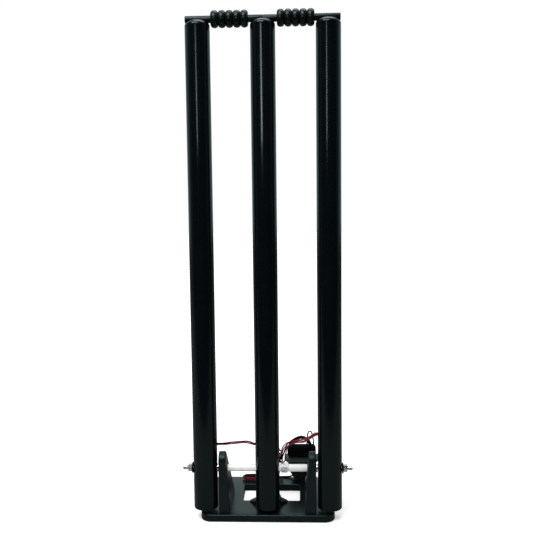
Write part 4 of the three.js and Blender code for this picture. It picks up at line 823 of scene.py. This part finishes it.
tray_low, tray_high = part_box("box_pedestal")
rear = tray_high.y
under_tray = TRAY_HEIGHT - TRAY_THICKNESS / 2
post_outline = [
    (PEDESTAL_X + u * BOX_WIDTH / 2, plate_high.z + v * (under_tray - plate_high.z))
    for u, v in PEDESTAL_SHARES
]
post_rear = rear - FIT
post = prism("box_pedestal_fine", post_outline, post_rear - PEDESTAL_DEPTH, post_rear, "y", nylon)
tray = prism("tray", [
    (tray_low.x + TRAY_CHAMFER_WIDTH, tray_low.y), (tray_high.x - TRAY_CHAMFER_WIDTH, tray_low.y),
    (tray_high.x, tray_low.y + TRAY_CHAMFER_DEPTH), (tray_high.x, rear),
    (tray_low.x, rear), (tray_low.x, tray_low.y + TRAY_CHAMFER_DEPTH),
], TRAY_HEIGHT - TRAY_THICKNESS, TRAY_HEIGHT, "z", nylon)
gusset_rear = post_rear - PEDESTAL_DEPTH + GUSSET_SET_BACK
gusset = prism("gusset", [
    (tray_low.y + GUSSET_SET_BACK, under_tray),
    (gusset_rear, under_tray - (under_tray - plate_high.z) * GUSSET_DROP_SHARE),
    (gusset_rear, under_tray),
], PEDESTAL_X - GUSSET_THICKNESS / 2, PEDESTAL_X + GUSSET_THICKNESS / 2, "x", nylon)
combine(post, [tray, gusset], "UNION")
eased(post, PEDESTAL_EDGE_ROUND, 3, 25)
post_foot = PEDESTAL_X - PEDESTAL_SHARES[1][0] * BOX_WIDTH / 2
lead_hole = bar("cutter", LEAD_HOLE_RADIUS, -LEAD_HOLE_DEPTH, LEAD_HOLE_DEPTH, "x", 32, nylon,
                Vector((post_foot, post_rear, plate_high.z)) + LEAD_HOLE)
combine(post, [lead_hole, screw_cutter("pedestal_screw")])
fitted_over(post, "base")


# The control box: a moulded ABS case and rear cover that meet in a fine parting line, with the cable
# holes in the top. Inside are a wrapped lithium cell and a green circuit board.
BOX_CORNER = 6 * MM
BOX_EDGE_ROUND = 1 * MM
BOX_WALL = 2 * MM
COVER_EASE = 0.4 * MM
SWITCH_KNOB = Vector((4, 1.6, 5)) * MM
SWITCH_TRAVEL = 3 * MM
SLOT_CORNER = 0.3 * MM

abs_case = satin_coat("moulded_abs_satin", "#070808", "#0a0b0b", 0.8, 0.7, 0.03, 0.02)

box_edges = (box_low.x, box_high.x, box_low.z, box_high.z)
shell = slab("control_box_fine", box_edges, BOX_CORNER, box_low.y, box_high.y, BOX_EDGE_ROUND, "y", abs_case)
cavity = prism("cutter", rounded(box_low.x + BOX_WALL, box_high.x - BOX_WALL, box_low.z + BOX_WALL,
                                 box_high.z - BOX_WALL, BOX_CORNER - BOX_WALL, 12),
               box_low.y + BOX_WALL, box_high.y + BOX_WALL, "y", abs_case)
reach = BOX_CORNER + BOX_WALL
drills = []
for route, diameter in ((BOX_CABLE_ROUTE, BOX_CABLE_DIAMETER), (AERIAL_ROUTE, AERIAL_DIAMETER)):
    for end in (route[0], route[-1]):
        place = box_rear_top + Vector((end[0], end[1], 0)) * MM
        drills.append(bar("cutter", diameter / 2 + RUNNING_GAP, -reach, reach, "z", 32, abs_case, place))
combine(shell, [cavity, *drills])
fitted_over(shell, "base")

cover = slab("control_box_cover_fine", box_edges, BOX_CORNER, cover_low.y, cover_high.y, COVER_EASE,
             "y", abs_case)
switch_low, switch_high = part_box("power_switch")
switch_middle = (switch_low + switch_high) / 2
slot_left = switch_middle.x - SWITCH_KNOB.x / 2 - FIT
slot_right = switch_middle.x + SWITCH_KNOB.x / 2 + SWITCH_TRAVEL + FIT
slot_low = switch_middle.z - SWITCH_KNOB.z / 2 - FIT
slot = rounded(slot_left, slot_right, slot_low, slot_low + SWITCH_KNOB.z + FIT * 2, SLOT_CORNER, 4)
combine(cover, [prism("cutter", slot, cover_low.y - OVERRUN, cover_high.y + OVERRUN, "y", abs_case)])
fitted_over(cover, "base")

cell_film = satin_coat("shrink_film_on_a_lithium_cell", "#8f959b", "#a9afb5", 0.35, 3.0, 0.03)
board_green = satin_coat("solder_mask_on_a_circuit_board", "#174a2f", "#256b46", 0.3, 1.5, 0.02)
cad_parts["battery_cell"].data.materials[0] = cell_film
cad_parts["control_board"].data.materials[0] = board_green


# The slide switch: a grey acetal knob with finger ribs, on a base behind the cover. It slides three
# millimetres across, and its face stays flush with the cover.
RIB_COUNT = 3
RIB_DEPTH = 0.35 * MM
RIB_WIDTH = 0.5 * MM
SWITCH_BASE_DEPTH = 1.5 * MM
KNOB_CORNER = 0.25 * MM
BASE_CORNER = 0.3 * MM

acetal = satin_coat("moulded_acetal", "#84888a", "#979b9c", 0.42, 0.6, 0.02)

knob_low = switch_middle - SWITCH_KNOB / 2
knob_high = switch_middle + SWITCH_KNOB / 2
knob = prism("power_switch_fine", rounded(knob_low.x, knob_high.x, knob_low.z, knob_high.z, KNOB_CORNER, 4),
             switch_low.y + SWITCH_BASE_DEPTH / 2, switch_high.y, "y", acetal)
switch_edges = rounded(switch_low.x, switch_high.x, switch_low.z, switch_high.z, BASE_CORNER, 4)
switch_base = prism("base", switch_edges, switch_low.y, switch_low.y + SWITCH_BASE_DEPTH, "y", acetal)
ribs = []
for i in range(RIB_COUNT):
    x = switch_middle.x + (i - (RIB_COUNT - 1) / 2) * RIB_WIDTH * 2
    ribs.append(prism("cutter", [(x - RIB_WIDTH / 2, switch_low.z), (x + RIB_WIDTH / 2, switch_low.z),
                                 (x + RIB_WIDTH / 2, switch_high.z), (x - RIB_WIDTH / 2, switch_high.z)],
                      switch_high.y - RIB_DEPTH, switch_high.y + OVERRUN, "y", acetal))
combine(knob, [switch_base], "UNION")
combine(knob, ribs)
fitted_over(knob, "switch")


# The pivot: a threaded rod of bright zinc-plated steel through both ears and all three stumps. A tube
# with a thick white zinc plate covers it between the ears, with turned spacers outside them, and a
# black washer and a nut hold each end.
ROD_DIAMETER = 6 * MM
THREAD_PITCH = 1.0 * MM
THREAD_DEPTH = 0.55 * MM
THREAD_LENGTH = 17 * MM
THREAD_SIDES = 36
THREAD_STEPS = 8
ROD_CHAMFER = 0.8 * MM
TUBE_DIAMETER = 10.8 * MM
TUBE_BORE = 3.3 * MM
SPACER_DIAMETER = 12 * MM
WASHER_DIAMETER = 16 * MM
NUT_WIDTH = 10 * MM
NUT_CHAMFER_SHARE = 0.6
TUBE_EASE = 0.4 * MM
SPACER_EASE = 0.3 * MM
WASHER_EASE = 0.75 * MM

tube_plate = bright_metal("white_zinc_plate_on_steel", "#f6f7f5", 0.42, 0.5, (1, 0.08, 0.08), 0.006, 0.12)
rod_axis = Vector((0, pivot.y, pivot.z))

rod_half = rod_high.x
points = []
thread_start = rod_half - THREAD_LENGTH
count = round(THREAD_LENGTH / THREAD_PITCH * THREAD_STEPS)
stations = [-rod_half + THREAD_LENGTH * i / count for i in range(count + 1)]
stations += [thread_start + THREAD_LENGTH * i / count for i in range(count + 1)]
for x in stations:
    to_end = rod_half - abs(x)
    for k in range(THREAD_SIDES):
        turn = k / THREAD_SIDES
        wave = abs(((x / THREAD_PITCH - turn) % 1) * 2 - 1)
        run_out = min(1, max(0, (THREAD_LENGTH - to_end) / THREAD_PITCH))
        depth = THREAD_DEPTH * wave * run_out
        radius = min(ROD_DIAMETER / 2 - depth, ROD_DIAMETER / 2 - ROD_CHAMFER + to_end)
        points.append((x, radius * math.cos(turn * math.tau), radius * math.sin(turn * math.tau)))
faces = [tuple(range(THREAD_SIDES)), tuple(range(len(points) - THREAD_SIDES, len(points)))[::-1]]
for i in range(len(stations) - 1):
    for k in range(THREAD_SIDES):
        here, beside = i * THREAD_SIDES + k, i * THREAD_SIDES + (k + 1) % THREAD_SIDES
        faces.append((here, here + THREAD_SIDES, beside + THREAD_SIDES, beside))
rod = outwards(mesh_piece("pivot_rod_fine", points, faces, zinc_plate, 50))
moved(rod, rod_axis)
fitted_over(rod, "wicket")


def collar(node, outer, inner, ease, material):
    """A turned ring on the rod, with its outer edges eased, from one end of a node to the other."""
    low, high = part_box(node)
    made = turned(node + "_fine", [
        (inner, low.x), (outer - ease, low.x), *arc_profile(low.x + ease, outer - ease, ease, 180, 90),
        *arc_profile(high.x - ease, outer - ease, ease, 90, 0), (inner, high.x), (inner, low.x),
    ], "x", 72, material)
    fitted_over(moved(made, rod_axis), "wicket")


def arc_profile(height, radius, ease, start, end):
    """A quarter round on a profile of (radius, height) points."""
    return [(v, u) for u, v in arc(height, radius, ease, start, end, 5)][1:]


collar("pivot_tube", TUBE_DIAMETER / 2, TUBE_BORE, TUBE_EASE, tube_plate)
washer_rubber = satin_coat("nitrile_rubber_washer", "#0b0b0b", "#161616", 0.45, 0.6, 0.03)
for label in ("left", "right"):
    collar(label + "_spacer", SPACER_DIAMETER / 2, ROD_HOLE, SPACER_EASE, zinc_plate)
    collar(label + "_washer", WASHER_DIAMETER / 2, ROD_HOLE, WASHER_EASE, washer_rubber)
    nut_low, nut_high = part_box(label + "_nut")
    flat, corner = NUT_WIDTH / 2, NUT_WIDTH / math.sqrt(3)
    chamfer = (corner - flat) * NUT_CHAMFER_SHARE
    nut = bar(label + "_nut_fine", corner, nut_low.x, nut_high.x, "x", 6, zinc_plate)
    low_rim, high_rim, beyond = nut_low.x + chamfer, nut_high.x - chamfer, corner + OVERRUN
    crown = turned("cutter", [
        (0, nut_low.x), (flat, nut_low.x), (corner, low_rim), (beyond, low_rim),
        (beyond, high_rim), (corner, high_rim), (flat, nut_high.x), (0, nut_high.x),
    ], "x", 72, zinc_plate)
    combine(nut, [crown], "INTERSECT")
    combine(nut, [bar("cutter", ROD_HOLE, nut_low.x - OVERRUN, nut_high.x + OVERRUN, "x", 48, zinc_plate)])
    fitted_over(moved(nut, rod_axis), "wicket")


# The return spring: plated spring steel wire, wound round the pivot tube. Its tang sits in the tube's
# wall and turns with the stumps, and its leg stands in the stop block, so the coil winds as they tip.
SPRING_TURNS = 4.5
SPRING_COIL_LENGTH = 10.4 * MM
SPRING_RADIUS = 6.7 * MM
SPRING_SIDE_GAP = 2.4 * MM
TANG_DEPTH = 0.7 * MM
TURN_STEPS = 32
SPRING_LEG_SHARES = [(0.95, 0.5, 0.18), (0.82, 0.84, 0.34), (0.68, 0.98, 0.52)]

spring_wire = bright_metal("plated_spring_wire", "#e4e6e8", 0.3, 0.3, (1, 1, 1), 0.01, 0.6)

spring_inner = STUMP_RADIUS + SPRING_SIDE_GAP
spring_outer = spring_inner + SPRING_COIL_LENGTH
spring_path = [pivot + Vector((spring_outer, -TUBE_DIAMETER / 2 + TANG_DEPTH, 0))]
spring_steps = round(SPRING_TURNS * TURN_STEPS)
for i in range(spring_steps + 1):
    turn = math.pi + i / spring_steps * SPRING_TURNS * math.tau
    x = spring_outer - i / spring_steps * SPRING_COIL_LENGTH
    spring_path.append(pivot + Vector((x, SPRING_RADIUS * math.cos(turn), -SPRING_RADIUS * math.sin(turn))))
seat_z = stop_high.z - pivot.z
leg = [spring_path[-2], spring_path[-1]]
leg += [pivot + Vector((spring_inner * u, SPRING_FOOT.y * v, seat_z * w)) for u, v, w in SPRING_LEG_SHARES]
leg.append(pivot + SPRING_FOOT + Vector((0, 0, seat_z + SPRING_SEAT)))
leg.append(pivot + SPRING_FOOT + Vector((0, 0, seat_z - SPRING_SEAT + FIT)))
spring_path = [*spring_path[:-2], *smooth_path(leg, 8)]
spring = tube_along("return_spring_fine", spring_path, SPRING_WIRE, 12, spring_wire)
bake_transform(spring)
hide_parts("return_spring")


# The splice: heat-shrink sleeve over the joint of the spare leads and the pigtail. It has shrunk unevenly, so
# its surface swells a little over each joint and draws in at its ends. It sits on the pigtail.
SLEEVE_RADIUS = 3 * MM
SLEEVE_NECK = 2.01 * MM
SLEEVE_WAIST_SHARE = 0.94
SLEEVE_WAIST_SPREAD_SHARE = 0.12
SLEEVE_SHOULDER_SHARE = 0.24
SLEEVE_STEPS = 24

heat_shrink = satin_coat("heat_shrink_sleeve", "#08090a", "#0f1011", 0.5, 0.9, 0.04, 0.1)
half = (splice_high.x - splice_low.x) / 2
sleeve_profile = [(0, -half)]
for i in range(SLEEVE_STEPS + 1):
    share = i / SLEEVE_STEPS
    rise = min(1, min(share, 1 - share) / SLEEVE_SHOULDER_SHARE)
    waist = 1 - (1 - SLEEVE_WAIST_SHARE) * math.exp(-((share - 0.5) / SLEEVE_WAIST_SPREAD_SHARE) ** 2)
    radius = SLEEVE_NECK + (SLEEVE_RADIUS * waist - SLEEVE_NECK) * math.sin(rise * math.pi / 2)
    sleeve_profile.append((radius, -half + share * half * 2))
sleeve_profile.append((0, half))
sleeve = turned("lead_splice_fine", sleeve_profile, "x", 40, heat_shrink, 50)
fitted_over(moved(sleeve, splice_centre), "base")


# The stumps: extruded ABS tubes with domed caps and foot plugs, all in gloss black. A groove across
# each top holds the bails, and holes let the rod and the wires through. Light strips stand inside.
BORE_RADIUS = 15.4 * MM
DOME_RISE = 10 * MM
RIM_SHARE = 0.06
DOME_POWER = 2.1
DOME_STEPS = 24
CAP_PLUG_DEPTH = 18 * MM
GROOVE_RADIUS = 5.6 * MM
GROOVE_DEPTH = 5.2 * MM
LINK_HOLE_RADIUS = 2.7 * MM
PIGTAIL_HOLE_RADIUS = 1.5 * MM
PLUG_FLANGE = 3 * MM
PLUG_CHAMFER = 1 * MM
STUMP_EASE = 0.25 * MM
PIVOT_TUBE_GAP = 0.25 * MM
STUMP_SIDES = 128
WIRE_HOLES = {
    "left": [(LINK_HOLE_RADIUS, 0, 36 * MM)],
    "middle": [
        (LINK_HOLE_RADIUS, 180, 36 * MM), (LINK_HOLE_RADIUS, 45, 10 * MM), (PIGTAIL_HOLE_RADIUS, 90, 34 * MM),
    ],
    "right": [(LINK_HOLE_RADIUS, 180, 52 * MM)],
}


def gloss_black(name, dark, light, roughness, wave_mm, wave_depth_mm):
    """Gloss ABS: near-black, with shallow waves from the mould or die that bend its long highlights."""
    made = satin_coat(name, dark, light, roughness, wave_mm, wave_depth_mm, 0.2)
    feed(made, made.node_tree.nodes["Principled BSDF"], {"Coat Weight": 0.12, "Coat Roughness": 0.08})
    return made


gloss_abs = gloss_black("gloss_abs_tube", "#05080a", "#080c0e", 0.18, 30.0, 0.03)

for label in ("left", "middle", "right"):
    tube_low, tube_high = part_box(label + "_stump_tube")
    cap_low, cap_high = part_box(label + "_stump_cap")
    plug_low, plug_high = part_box(label + "_foot_plug")
    axis = Vector(((tube_low.x + tube_high.x) / 2, pivot.y, 0))
    rim_radius = STUMP_RADIUS - STUMP_EASE
    tube = turned(label + "_stump_tube_fine", [
        (BORE_RADIUS, tube_low.z), (rim_radius, tube_low.z), (STUMP_RADIUS, tube_low.z + STUMP_EASE),
        (STUMP_RADIUS, tube_high.z - STUMP_EASE), (rim_radius, tube_high.z), (BORE_RADIUS, tube_high.z),
        (BORE_RADIUS, tube_low.z),
    ], "z", STUMP_SIDES, gloss_abs)
    moved(tube, axis)
    pivot_place = axis + Vector((0, 0, pivot.z))
    cross = TUBE_DIAMETER / 2 + PIVOT_TUBE_GAP if label == "middle" else ROD_HOLE
    tools = [bar("cutter", cross, -CUT_REACH, CUT_REACH, "x", 64, gloss_abs, pivot_place)]
    for radius, bearing, height in WIRE_HOLES[label]:
        drill = bar("cutter", radius, BORE_RADIUS / 2, CUT_REACH, "x", 40, gloss_abs)
        drill.data.transform(Matrix.Rotation(math.radians(bearing), 4, "Z"))
        tools.append(moved(drill, pivot_place + Vector((0, 0, height))))
    combine(tube, tools)
    fitted_over(tube, "wicket")

    shoulder = cap_low.z + CAP_PLUG_DEPTH
    rim = DOME_RISE * RIM_SHARE
    profile = [(0, cap_low.z), (BORE_RADIUS - FIT, cap_low.z), (BORE_RADIUS - FIT, shoulder),
               (rim_radius, shoulder), (STUMP_RADIUS, shoulder + STUMP_EASE)]
    for i in range(DOME_STEPS):
        turn = i / DOME_STEPS * math.pi / 2
        across, up = math.cos(turn) ** (2 / DOME_POWER), math.sin(turn) ** (2 / DOME_POWER)
        profile.append((STUMP_RADIUS * across, shoulder + rim + (DOME_RISE - rim) * up))
    profile.append((0, shoulder + DOME_RISE))
    cap = moved(turned(label + "_stump_cap_fine", profile, "z", STUMP_SIDES, gloss_abs), axis)
    groove_place = axis + Vector((0, 0, shoulder + DOME_RISE - GROOVE_DEPTH + GROOVE_RADIUS))
    combine(cap, [bar("cutter", GROOVE_RADIUS, -CUT_REACH, CUT_REACH, "x", 96, gloss_abs, groove_place)])
    fitted_over(cap, "wicket")

    toe_round = arc(STUMP_RADIUS - PLUG_CHAMFER, plug_low.z + PLUG_CHAMFER, PLUG_CHAMFER, -90, 0, 6)
    plug = turned(label + "_foot_plug_fine", [
        (0, plug_low.z), *toe_round,
        (STUMP_RADIUS, plug_low.z + PLUG_FLANGE), (BORE_RADIUS - FIT, plug_low.z + PLUG_FLANGE),
        (BORE_RADIUS - FIT, plug_high.z), (0, plug_high.z),
    ], "z", STUMP_SIDES, gloss_abs)
    fitted_over(moved(plug, axis), "wicket")
    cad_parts[label + "_light_strip"].data.materials[0] = board_green


# The bails: turned-look mouldings in gloss black ABS, with five beads between a long and a short
# spigot. They lie loose in the grooves, end to end, with their long spigots outwards.
BEAD_RADIUS = 12.2 * MM
BEAD_VALLEY_SHARE = 0.68
BEAD_COUNT = 5
BEAD_STEPS = 16
BARREL = 52.8 * MM
BARREL_GAP = 1.65 * MM
SPIGOT_RADIUS = 5.2 * MM
BAIL_CHAMFER = 0.7 * MM

gloss_bail = gloss_black("gloss_abs_bail", "#07090a", "#0c1011", 0.3, 8.0, 0.02)

for side, label in ((-1, "left"), (1, "right")):
    bail_low, bail_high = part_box(label + "_bail")
    length = bail_high.x - bail_low.x
    stump_low, stump_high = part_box(label + "_stump_tube")
    outer, inner_face = (bail_low.x, stump_high.x) if side < 0 else (bail_high.x, stump_low.x)
    long_spigot = abs(outer - inner_face) + BARREL_GAP
    valley = BEAD_RADIUS * BEAD_VALLEY_SHARE
    pitch = BARREL / BEAD_COUNT
    tip_radius = SPIGOT_RADIUS - BAIL_CHAMFER
    profile = [(0, 0), *[(v, u) for u, v in arc(BAIL_CHAMFER, tip_radius, BAIL_CHAMFER, 180, 90, 4)],
               (SPIGOT_RADIUS, long_spigot), (valley, long_spigot)]
    for bead in range(BEAD_COUNT):
        for i in range(1, BEAD_STEPS + 1):
            turn = i / BEAD_STEPS * math.pi
            swell = math.sin(turn)
            along = (1 - math.cos(turn)) / 2
            profile.append((valley + (BEAD_RADIUS - valley) * swell, long_spigot + (bead + along) * pitch))
    profile.append((SPIGOT_RADIUS, long_spigot + BARREL))
    profile += [(v, u) for u, v in arc(length - BAIL_CHAMFER, tip_radius, BAIL_CHAMFER, 90, 0, 4)]
    profile.append((0, length))
    bail = turned(label + "_bail_fine", profile, "x", 80, gloss_bail, 50)
    if side > 0:
        bail.data.transform(Matrix.Rotation(math.pi, 4, "Z"))
    moved(bail, (outer, pivot.y, (bail_low.z + bail_high.z) / 2))
    fitted_over(bail, label + "_bail")


# The view is plain.
bpy.context.scene.view_settings.view_transform = "Standard"
